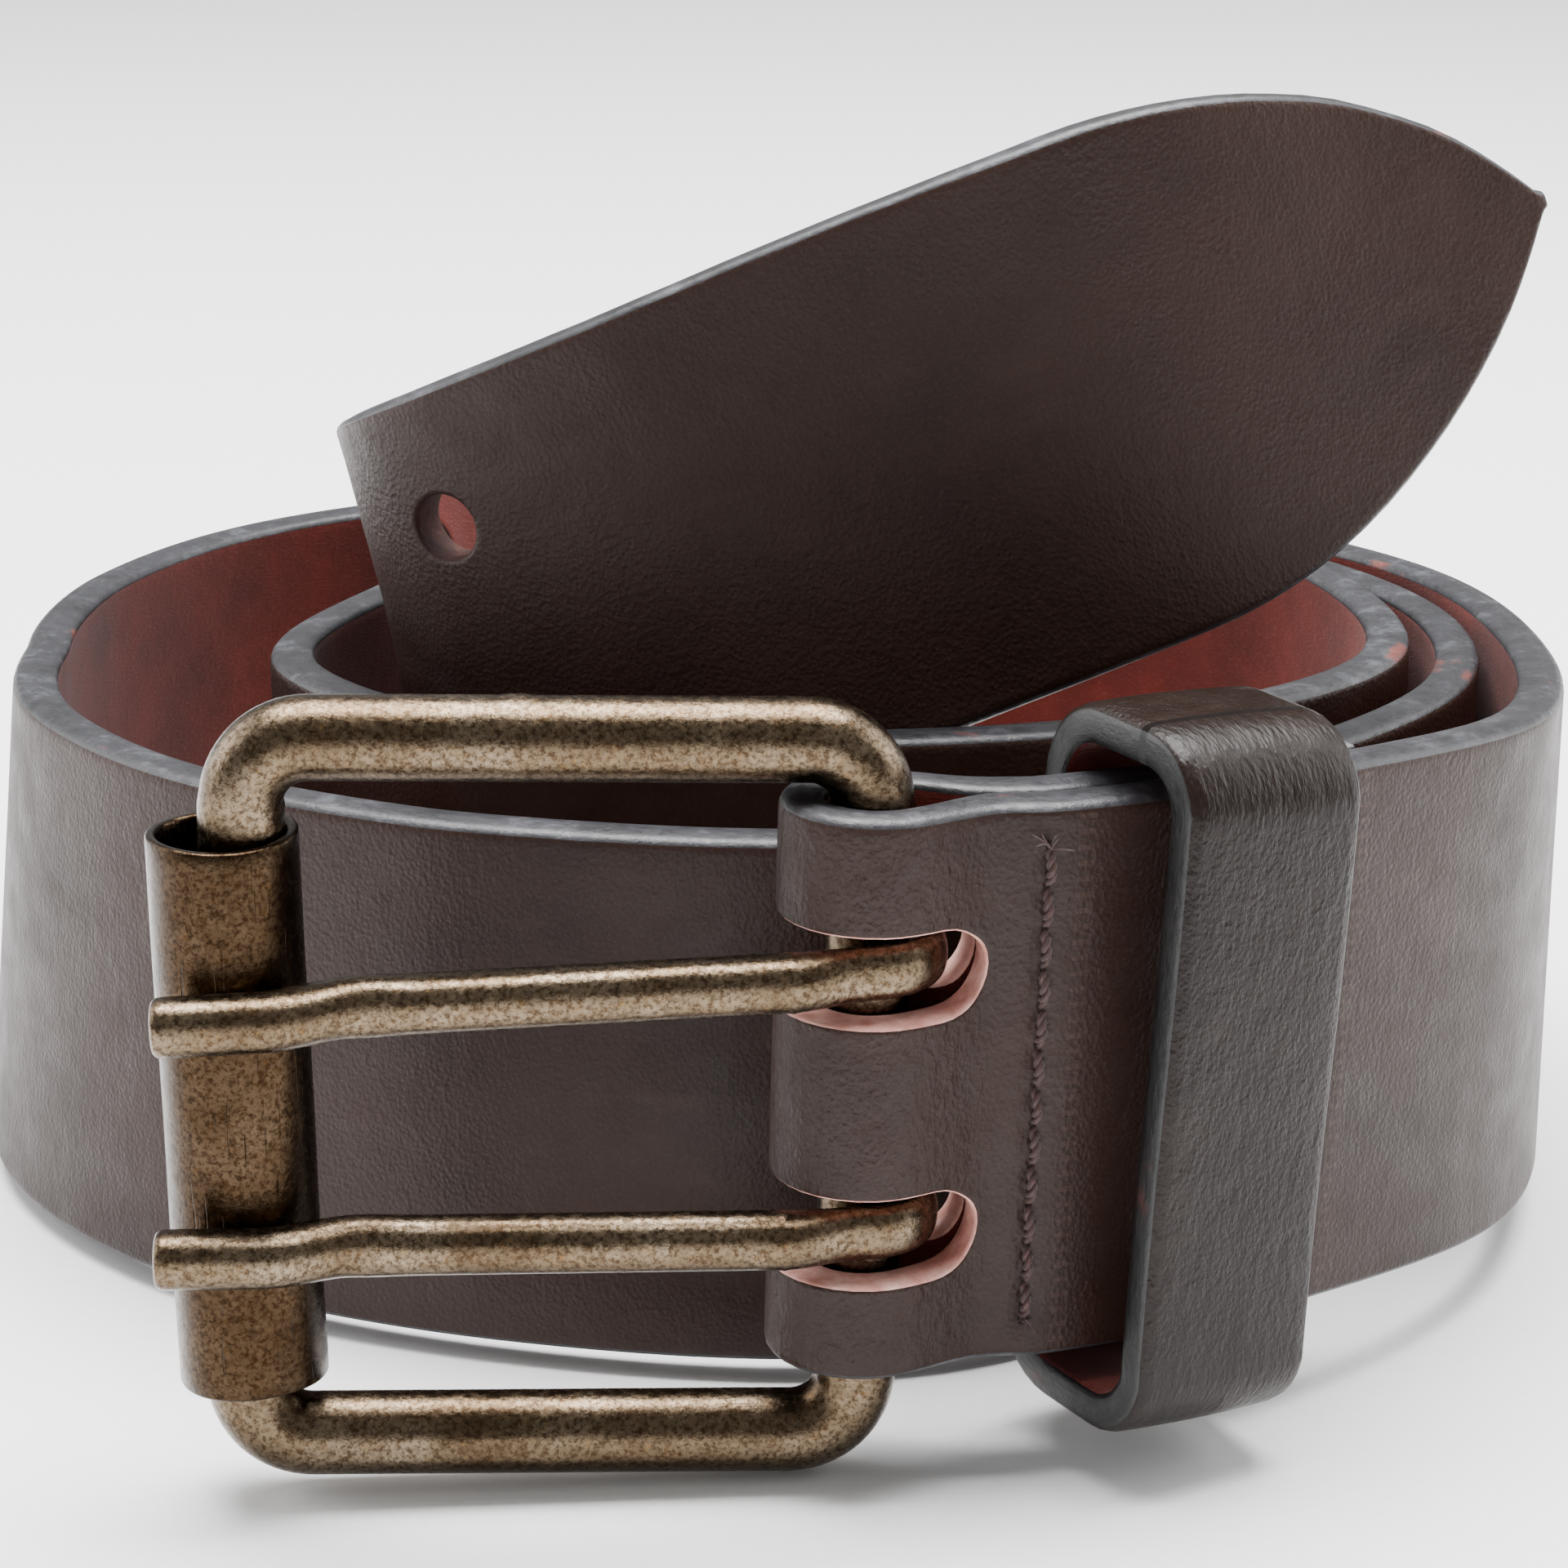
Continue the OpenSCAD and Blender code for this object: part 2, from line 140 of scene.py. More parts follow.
WAY = plan_points()
LAST_SPAN = len(WAY) - 3


def spline_point(p):
    """The Catmull-Rom curve at parameter p: its whole part is the span, from 1 on."""
    i = min(max(int(p), 1), LAST_SPAN)
    t = p - i
    a, b, c, d = WAY[i - 1:i + 3]
    return 0.5 * (2 * b + (c - a) * t + (2 * a - 5 * b + 4 * c - d) * t * t
                  + (3 * b - a - 3 * c + d) * t ** 3)


def distance_table():
    table, run, before = [], 0.0, spline_point(1)
    for k in range(LAST_SPAN * SPLINE_STEPS + 1):
        p = 1 + k / SPLINE_STEPS
        here = spline_point(p)
        run += (here - before).length
        table.append((run, p))
        before = here
    return table


def lookup(x, table):
    if x <= table[0][0]:
        return table[0][1]
    for (x0, y0), (x1, y1) in zip(table, table[1:]):
        if x <= x1:
            return y0 + (y1 - y0) * (x - x0) / (x1 - x0)
    return table[-1][1]


DISTANCES = distance_table()


def on_plan(s):
    return spline_point(lookup(s, DISTANCES))


def plan_at(s):
    """The route at distance s, gently smoothed once it has left the sewn stretch."""
    if s < 4:
        return on_plan(s)
    reach = min(1, (s - 4) / 12) * 3
    weights = (1, 2, 3, 2, 1)
    total = Vector((0, 0, 0))
    for k, weight in enumerate(weights):
        total += weight * on_plan(s + (k - 2) * reach)
    return total / sum(weights)


def low_edge(s):
    level = sum(lookup(s + 8 * k, EDGE_HEIGHT) for k in range(-3, 4)) / 7
    return level + COIL_SLOPE * max(0, COIL_BACK - on_plan(s).y)


def strap_frame(s):
    """(point on the lower edge, outward normal, direction of the width) at distance s."""
    ahead = (plan_at(s + 4) - plan_at(s - 4)).normalized()
    rise = math.atan((low_edge(s + 2) - low_edge(s - 2)) / 4)
    lean = math.radians(lookup(s, EDGE_LEAN))
    out = Vector((ahead.y, -ahead.x, 0))
    up = Vector((-math.sin(rise) * ahead.x, -math.sin(rise) * ahead.y, math.cos(rise)))
    low = low_edge(s) + HALF_THICK * abs(math.sin(lean))
    point = SHIFT + plan_at(s) + Vector((0, 0, low))
    return (point, math.cos(lean) * out - math.sin(lean) * up,
            math.cos(lean) * up + math.sin(lean) * out)


def ease(t):
    t = min(max(t, 0), 1)
    return t * t * (3 - 2 * t)


def mix(a, b, t):
    return a + (b - a) * t


def sewn_point(u, v):
    """A point of the strap's lower edge, u along the sewn stretch and v out from the bar."""
    return BAR_POINT + u * SEWN_DIR + v * SEWN_OUT - HALF_WIDTH * BAR_UP


# Places along the leather are developed lengths q: 0 where the front leaf leaves the fold,
# positive towards the tip, negative round the fold and along the leaf behind.
MAIN_FROM = 9.0
MAIN_FULL = 14.0


def leather_frame(q):
    """(point on the lower edge, grain-side normal, width direction, thickness) at q."""
    if q >= 0:
        thick = mix(FOLD_THICK, STRAP_THICK, ease(q / BLEND_LENGTH))
        depth = mix(FOLD_RADIUS, HALF_THICK, ease(q / BLEND_LENGTH))
        sewn = (sewn_point(q, depth), SEWN_OUT, BAR_UP)
        if q <= MAIN_FROM:
            return (*sewn, thick)
        main = strap_frame(q - BAR_TO_DATUM)
        share = ease((q - MAIN_FROM) / (MAIN_FULL - MAIN_FROM))
        return (*[mix(a, b, share) for a, b in zip(sewn, main)], thick)
    if q > -FOLD_ARC:
        turn = math.radians(90) - q / FOLD_RADIUS
        out = math.cos(turn) * SEWN_DIR + math.sin(turn) * SEWN_OUT
        point = sewn_point(FOLD_RADIUS * math.cos(turn), FOLD_RADIUS * math.sin(turn))
        return (point, out, BAR_UP, FOLD_THICK)
    u = -q - FOLD_ARC
    thick = mix(FOLD_THICK, STRAP_THICK, ease(u / BLEND_LENGTH))
    depth = -mix(FOLD_RADIUS, HALF_THICK + LEAF_GAP, ease(u / BLEND_LENGTH))
    sewn = (sewn_point(u, depth), -SEWN_OUT, BAR_UP)
    if u <= MAIN_FROM:
        return (*sewn, thick)
    point, out, up = strap_frame(u - BAR_TO_DATUM)
    main = (point - LEAF_DEPTH * out, -out, up)
    share = ease((u - MAIN_FROM) / (MAIN_FULL - MAIN_FROM))
    return (*[mix(a, b, share) for a, b in zip(sewn, main)], thick)


# ---- Mesh helpers ----------------------------------------------------------------------
class Skin:
    """Collects a piece's points and faces, with each point's place in the flat material."""

    def __init__(self):
        self.points, self.flat, self.faces, self.kinds = [], [], [], []

    def add(self, point, flat=(0, 0, 0)):
        self.points.append(point * MM)
        self.flat.append(Vector(flat) * MM)
        return len(self.points) - 1

    def face(self, corners, kind=0):
        if len(set(corners)) > 2:
            self.faces.append([c for k, c in enumerate(corners) if c != corners[k - 1]])
            self.kinds.append(kind)

    def strip(self, row_a, row_b, kind=0, closed=False):
        count = len(row_a) if closed else len(row_a) - 1
        for k in range(count):
            n = (k + 1) % len(row_a)
            self.face([row_a[k], row_a[n], row_b[n], row_b[k]], kind)

    def piece(self, name, body, slot, materials):
        mesh = bpy.data.meshes.new(name)
        mesh.from_pydata(self.points, [], self.faces)
        for material in materials:
            mesh.materials.append(material)
        mesh.polygons.foreach_set("material_index", self.kinds)
        mesh.polygons.foreach_set("use_smooth", [True] * len(self.faces))
        layer = mesh.attributes.new("flat", "FLOAT_VECTOR", "POINT")
        layer.data.foreach_set("vector", [c for f in self.flat for c in f])
        mesh.update()
        obj = bpy.data.objects.new(name, mesh)
        bpy.context.scene.collection.objects.link(obj)
        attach(obj, body)
        return obj


def turning_frames(path):
    """A steady sideways direction at each point of a path, carried along without twist."""
    frames = []
    side = None
    for k, point in enumerate(path):
        ahead = (path[min(k + 1, len(path) - 1)] - path[max(k - 1, 0)]).normalized()
        if side is None:
            side = ahead.orthogonal().normalized()
        side = (side - side.dot(ahead) * ahead).normalized()
        frames.append((point, side, ahead.cross(side)))
    return frames


def add_tube(skin, path, radius, sides=8, kind=0, taper_ends=False):
    """A round tube along a path, closed at both ends."""
    rings, run = [], 0.0
    frames = turning_frames(path)
    for k, (point, side, other) in enumerate(frames):
        if k:
            run += (point - frames[k - 1][0]).length
        r = radius * (0.35 if taper_ends and k in (0, len(frames) - 1) else 1)
        ring = []
        for j in range(sides):
            a = 2 * math.pi * j / sides
            around = math.cos(a) * side + math.sin(a) * other
            ring.append(skin.add(point + r * around, (run, r * a, 0)))
        rings.append(ring)
    for a, b in zip(rings, rings[1:]):
        skin.strip(a, b, kind, closed=True)
    skin.face(rings[0][::-1], kind)
    skin.face(rings[-1], kind)


# ---- Materials -------------------------------------------------------------------------
class Shade:
    """A principled material with short calls for its nodes."""

    def __init__(self, name):
        self.material = bpy.data.materials.new(name)
        self.material.use_nodes = True
        self.tree = self.material.node_tree
        self.main = self.tree.nodes["Principled BSDF"]

    def node(self, kind, inputs=(), **settings):
        node = self.tree.nodes.new(kind)
        for key, value in settings.items():
            setattr(node, key, value)
        for key, value in dict(inputs).items():
            self.feed(node.inputs[key], value)
        return node

    def feed(self, socket, value):
        if isinstance(value, bpy.types.NodeSocket):
            self.tree.links.new(value, socket)
        else:
            socket.default_value = value

    def flat(self, scale=(1, 1, 1)):
        """The leather's own flat coordinates, in metres, stretched by scale."""
        place = self.node("ShaderNodeAttribute", attribute_name="flat")
        return self.node("ShaderNodeVectorMath", {0: place.outputs["Vector"], 1: scale},
                         operation="MULTIPLY").outputs[0]

    def solid(self):
        return self.node("ShaderNodeTexCoord").outputs["Object"]

    def noise(self, where, scale, detail=4.0, rough=0.55):
        return self.node("ShaderNodeTexNoise", {"Vector": where, "Scale": scale,
                         "Detail": detail, "Roughness": rough}).outputs["Fac"]

    def cells(self, where, scale, feature="F1"):
        return self.node("ShaderNodeTexVoronoi", {"Vector": where, "Scale": scale},
                         feature=feature).outputs["Distance"]

    def ramp(self, value, stops):
        node = self.node("ShaderNodeValToRGB", {"Fac": value})
        ramp = node.color_ramp
        while len(ramp.elements) < len(stops):
            ramp.elements.new(0.5)
        for element, (place, color) in zip(ramp.elements, stops):
            element.position = place
            element.color = color if len(color) == 4 else (*color, 1)
        return node.outputs["Color"]

    def grade(self, value, low, high, to_low, to_high):
        return self.node("ShaderNodeMapRange", {"Value": value, "From Min": low,
                         "From Max": high, "To Min": to_low, "To Max": to_high}).outputs[0]

    def math(self, operation, a, b=0.0):
        return self.node("ShaderNodeMath", {0: a, 1: b}, operation=operation).outputs[0]

    def blend(self, share, a, b, how="MIX"):
        node = self.node("ShaderNodeMix", data_type="RGBA", blend_type=how)
        self.feed(node.inputs[0], share)
        self.feed(node.inputs[6], a)
        self.feed(node.inputs[7], b)
        return node.outputs[2]

    def axis(self, vector, name):
        return self.node("ShaderNodeSeparateXYZ", {0: vector}).outputs[name]

    def bump(self, height, depth, before=None):
        node = self.node("ShaderNodeBump", {"Height": height, "Distance": depth,
                         "Strength": 1.0})
        if before is not None:
            self.feed(node.inputs["Normal"], before)
        return node.outputs["Normal"]

    def finish(self, color, rough, normal, **plain):
        self.feed(self.main.inputs["Base Color"], color)
        self.feed(self.main.inputs["Roughness"], rough)
        self.feed(self.main.inputs["Normal"], normal)
        for key, value in plain.items():
            self.main.inputs[key.replace("_", " ")].default_value = value
        return self.material


def rgb(red, green, blue):
    """A colour given in display values from 0 to 255, as linear light."""
    def line(c):
        c = c / 255
        return c / 12.92 if c <= 0.04045 else ((c + 0.055) / 1.055) ** 2.4
    return (line(red), line(green), line(blue), 1.0)


def grain_leather(name, dark, warm, worn, wrinkle, gloss, shine, bend=None, marks=()):
    """Smooth full-grain leather: dark, with fine pores, faint creases and scuffs."""
    m = Shade(name)
    flat = m.flat()
    cloud = m.noise(flat, 45, 5, 0.6)
    color = m.blend(m.grade(cloud, 0.35, 0.65, 0, 1), dark, warm)
    streak = m.noise(m.flat((1, 3.5, 1)), 60, 6, 0.65)
    color = m.blend(m.grade(streak, 0.58, 0.8, 0, 0.3), color, worn)
    pores = m.cells(m.flat((1, 0.8, 1)), 2600)
    fine = m.noise(flat, 3600, 3, 0.6)
    color = m.blend(m.grade(fine, 0.5, 0.75, 0, 0.3), color, worn)
    crease = m.noise(m.flat((1.6, 0.7, 1)), 420, 5, 0.7)
    rough = m.grade(m.noise(flat, 240, 5, 0.6), 0.3, 0.7, gloss, gloss + 0.14)
    normal = m.bump(pores, 0.00005)
    normal = m.bump(fine, 0.00004, normal)
    normal = m.bump(crease, wrinkle, normal)
    q, w = m.axis(flat, "X"), m.axis(flat, "Y")
    if bend is not None:
        # the fold round the bar is pebbled, and puckered where it springs from the leaf
        off = m.math("ABSOLUTE", m.math("SUBTRACT", q, bend * MM))
        pucker = m.math("MULTIPLY", m.grade(off, 8 * MM, 16 * MM, 1, 0),
                        m.noise(m.flat((1.3, 0.55, 1)), 900, 4, 0.6))
        normal = m.bump(pucker, 0.0003, normal)
    for place, pitch in marks:
        # the sewing machine's feed dog leaves a ladder of short ticks beside each seam
        near = m.math("LESS_THAN", m.math("ABSOLUTE", m.math("SUBTRACT", q, place * MM)),
                      0.6 * MM)
        tick = m.math("LESS_THAN", m.math("FRACT", m.math("DIVIDE", w, pitch * MM)), 0.35)
        ladder = m.math("MULTIPLY", near, tick)
        normal = m.bump(m.math("SUBTRACT", 1.0, ladder), 0.00012, normal)
        color = m.blend(m.math("MULTIPLY", ladder, 0.35), color, worn)
    return m.finish(color, rough, normal, Specular_IOR_Level=shine)


def flesh_leather():
    """The suede-like inner side, dyed red-brown, with loose fibre and a faint nap."""
    m = Shade("flesh_leather")
    flat = m.flat()
    cloud = m.noise(flat, 70, 6, 0.65)
    color = m.ramp(cloud, [(0.3, rgb(64, 18, 12)), (0.55, rgb(86, 27, 19)),
                           (0.75, rgb(106, 38, 29))])
    fibre = m.noise(m.flat((1, 2.6, 1)), 1500, 5, 0.7)
    color = m.blend(m.grade(fibre, 0.55, 0.8, 0, 0.5), color, rgb(140, 78, 66))
    normal = m.bump(fibre, 0.00012)
    normal = m.bump(m.noise(flat, 350, 4, 0.6), 0.0001, normal)
    return m.finish(color, 0.88, normal, Sheen_Weight=0.1, Sheen_Roughness=0.5,
                    Specular_IOR_Level=0.15)


def burnished_edge(name, ink, rubbed, bright, show_red):
    """A cut edge, inked blue-black and rubbed smooth, with a few red fibres showing."""
    m = Shade(name)
    flat = m.flat()
    cloud = m.noise(flat, 300, 6, 0.65)
    color = m.ramp(cloud, [(0.3, ink), (0.55, rubbed), (0.74, bright)])
    red = m.noise(m.flat((0.5, 1, 1)), 130, 4, 0.6)
    color = m.blend(m.grade(red, 0.64, 0.7, 0, show_red), color, rgb(112, 52, 42))
    fibre = m.noise(m.flat((1.5, 1, 2)), 900, 5, 0.7)
    rough = m.grade(fibre, 0.3, 0.7, 0.3, 0.5)
    normal = m.bump(fibre, 0.0001)
    return m.finish(color, rough, normal, Specular_IOR_Level=0.55)


def cut_leather(name, deep, middle, pale):
    """Raw salmon-red walls of the cut slots and, darker as painted shade, of the punched holes.
    """
    m = Shade(name)
    where = m.solid()
    fibre = m.noise(where, 1600, 5, 0.7)
    cloud = m.noise(where, 350, 4, 0.6)
    color = m.ramp(cloud, [(0.3, deep), (0.55, middle), (0.75, pale)])
    color = m.blend(m.grade(fibre, 0.5, 0.8, 0, 0.5), color, deep)
    normal = m.bump(fibre, 0.00012)
    return m.finish(color, 0.8, normal, Specular_IOR_Level=0.3)


def antique_brass(name, tint_and_shade, scratch=0.0):
    """Brass plating with a dark brown patina, speckled, and flecked brighter gold at random."""
    m = Shade(name)
    where = m.solid()
    cloud = m.noise(where, 110, 6, 0.7)
    color = m.ramp(cloud, [(0.3, rgb(84, 70, 55)), (0.5, rgb(108, 95, 79)),
                           (0.7, rgb(138, 126, 110))])
    speck = m.noise(where, 2300, 5, 0.75)
    color = m.blend(m.grade(speck, 0.44, 0.6, 0, 0.85), color, rgb(52, 38, 25))
    gold = m.noise(where, 1300, 5, 0.75)
    color = m.blend(m.grade(gold, 0.58, 0.72, 0, 0.5), color, rgb(134, 102, 60))
    # tint_and_shade multiplies the colour: a slight warm tint on the frame, and on the roller a
    # much darker tint that is painted shade for its dim reflections
    color = m.blend(1.0, color, tint_and_shade, "MULTIPLY")
    rough = m.grade(m.noise(where, 1100, 5, 0.7), 0.3, 0.7, 0.13, 0.36)
    normal = m.bump(speck, 0.00003)
    normal = m.bump(m.noise(where, 700, 4, 0.6), 0.00004, normal)
    normal = m.bump(m.noise(where, 240, 3, 0.5), 0.00008, normal)
    if scratch:
        lines = m.noise(m.flat((0.06, 1.5, 1)), 1800, 2, 0.5)
        normal = m.bump(m.grade(lines, 0.66, 0.72, 1, 0), scratch, normal)
    return m.finish(color, rough, normal, Metallic=1.0)


def waxed_thread():
    m = Shade("waxed_thread")
    flat = m.flat()
    strand = m.noise(m.flat((1, 5, 1)), 1500, 4, 0.6)
    color = m.ramp(strand, [(0.3, rgb(30, 14, 12)), (0.55, rgb(56, 28, 24)),
                            (0.8, rgb(104, 66, 56))])
    rough = m.grade(m.noise(flat, 700, 3), 0.3, 0.7, 0.5, 0.75)
    return m.finish(color, rough, m.bump(strand, 0.00005), Sheen_Weight=0.15)


# near-black colour for the sunken needle holes: painted shade for the inside of each hole
def needle_hole_painted_shade():
    m = Shade("needle_hole_painted_shade")
    dark = m.noise(m.solid(), 2500, 3)
    color = m.ramp(dark, [(0.3, rgb(14, 9, 8)), (0.7, rgb(36, 22, 19))])
    return m.finish(color, 0.9, m.bump(dark, 0.00003))


FRONT_SEAM_Q = FRONT_SEAM + BAR_TO_DATUM
REAR_SEAM_Q = REAR_SEAM + BAR_TO_DATUM
strap_grain = grain_leather(
    "strap_grain", rgb(34, 20, 15), rgb(44, 27, 21), rgb(68, 49, 42), 0.00010, 0.38, 0.22,
    bend=-5.0, marks=[(FRONT_SEAM_Q + 2.6, 1.25), (REAR_SEAM_Q + 2.4, 1.25)])
keeper_grain = grain_leather(
    "keeper_grain", rgb(20, 13, 10), rgb(30, 20, 16), rgb(54, 41, 35), 0.0003, 0.26, 0.2)
flesh = flesh_leather()
edge = burnished_edge("burnished_edge", rgb(20, 20, 23), rgb(40, 40, 44),
                      rgb(78, 79, 83), 0.7)
keeper_edge = burnished_edge("keeper_edge", rgb(4, 4, 5), rgb(9, 9, 9),
                             rgb(28, 27, 26), 0.2)
cut_wall = cut_leather("cut_leather", rgb(176, 116, 104), rgb(216, 164, 152),
                       rgb(236, 200, 192))
# the punched holes' walls: the same cut leather much darkened, painted shade for the dim
# insides of the small holes
punched_wall_painted_shade = cut_leather("punched_leather_painted_shade", rgb(30, 13, 11), rgb(50, 25, 20),
                           rgb(78, 46, 39))
brass = antique_brass("antique_brass", (0.95, 0.91, 0.85, 1))
# the roller's brass is the same brass darkened to about a third, painted shade for the dim
# surroundings its upright tube reflects
roller_brass_painted_shade = antique_brass("roller_brass_painted_shade", (0.32, 0.26, 0.21, 1), scratch=0.00012)
thread = waxed_thread()
hole_painted_shade = needle_hole_painted_shade()

# ---- The strap -------------------------------------------------------------------------
BLOCK_HALF = 5.0
BLOCK_STEPS = 8
ROWS = [HALF_WIDTH - ROW_SPACING / 2, HALF_WIDTH + ROW_SPACING / 2]
EDGE_INSET = 1.5
GROOVE_DEPTH = 0.35
GROOVE_HALF = 0.6
GRAIN, FLESH, EDGE, CUT, PUNCHED = range(5)
HOLE_QS = [STRAP_LENGTH - HOLE_FIRST - k * HOLE_PITCH + BAR_TO_DATUM
           for k in range(HOLE_PAIRS)]
# Each opening block: (first q, last q, first arc centre, last arc centre, half width)
SLOT_END = SLOT_REACH - SLOT_HALF
SLOT_BLOCK = (-FOLD_ARC - SLOT_END - BLOCK_HALF, SLOT_END + BLOCK_HALF,
              -FOLD_ARC - SLOT_END, SLOT_END, SLOT_HALF)
HOLE_BLOCKS = [(q - BLOCK_HALF, q + BLOCK_HALF, q, q, HOLE_RADIUS) for q in HOLE_QS]
BLOCKS = [SLOT_BLOCK] + HOLE_BLOCKS[::-1]


def half_tip(u):
    """Half the strap's width at distance u from its point."""
    if u >= TIP_LENGTH:
        return HALF_WIDTH
    radius = (TIP_LENGTH ** 2 + HALF_WIDTH ** 2) / STRAP_WIDTH
    return max(0.8, HALF_WIDTH - radius + math.sqrt(radius ** 2 - (TIP_LENGTH - u) ** 2))


def spread(first, last, step):
    count = max(1, math.ceil((last - first) / step - 1e-6))
    return [first + (last - first) * k / count for k in range(count)]


def station_list():
    """Where the strap's rings lie: close together round the fold, the seams and the holes."""
    tip = STRAP_LENGTH + BAR_TO_DATUM
    qs = spread(-FOLD_ARC - LEAF_END, SLOT_BLOCK[0], 3)
    for k, block in enumerate(BLOCKS):
        first, last, arc_0, arc_1, _ = block
        qs += spread(first, arc_0, BLOCK_HALF / 4)
        qs += spread(arc_0, arc_1, 1.2) if arc_1 > arc_0 else []
        qs += spread(arc_1, last, BLOCK_HALF / 4)
        if k == 0:
            seam = [FRONT_SEAM_Q + d for d in (-1.2, -0.6, -0.3, 0, 0.3, 0.6, 1.2)]
            qs += spread(last, seam[0], 1.0) + seam
            rear = [REAR_SEAM_Q + d for d in (-1.2, -0.6, -0.3, 0, 0.3, 0.6, 1.2)]
            qs += spread(seam[-1] + 1.5, rear[0], 3) + rear
            qs += spread(rear[-1] + 1.5, BLOCKS[1][0], 2.5)
        elif k < len(BLOCKS) - 1:
            qs += spread(last, BLOCKS[k + 1][0], 2.5)
    qs += spread(BLOCKS[-1][1], tip - 12, 2.5)
    return qs + [tip - u for u in (12, 10, 8, 6, 4.5, 3.2, 2.2, 1.4, 0.8, 0.35, 0.1, 0)]


def width_lines():
    """Heights of the lengthwise lines, the two rows of openings in blocks of equal steps."""
    lines = [EDGE_INSET, 3.2, 5.0]
    for k, row in enumerate(ROWS):
        step = 2 * BLOCK_HALF / BLOCK_STEPS
        lines += [row - BLOCK_HALF + j * step for j in range(BLOCK_STEPS + 1)]
        if k == 0:
            lines += [HALF_WIDTH - 2.8, HALF_WIDTH, HALF_WIDTH + 2.8]
    return lines + [STRAP_WIDTH - 5.0, STRAP_WIDTH - 3.2, STRAP_WIDTH - EDGE_INSET]


def seam_groove(q, w):
    """How far the thread has pulled the grain in at (q, w)."""
    span = STITCH_COUNT * STITCH_PITCH / 2 + 1
    if abs(w - HALF_WIDTH) > span:
        return 0.0
    depth = 0.0
    for seam in (FRONT_SEAM_Q, REAR_SEAM_Q):
        depth += GROOVE_DEPTH * math.exp(-((q - seam) / GROOVE_HALF) ** 2)
    return depth


def edge_profile(half):
    """(inset, depth) points from the grain side round the cut edge to the flesh side."""
    points = []
    for a in (0, 25, 50, 75):
        turn = math.radians(a)
        points.append((0.95 * (1 - math.sin(turn)), half - 0.95 * (1 - math.cos(turn))))
    points += [(0.0, half - 1.1), (-0.12, 0.1 * half), (0.0, -half + 0.9)]
    for a in (60, 25, 0):
        turn = math.radians(a)
        points.append((0.6 * (1 - math.sin(turn)), -half + 0.6 * (1 - math.cos(turn))))
    return points


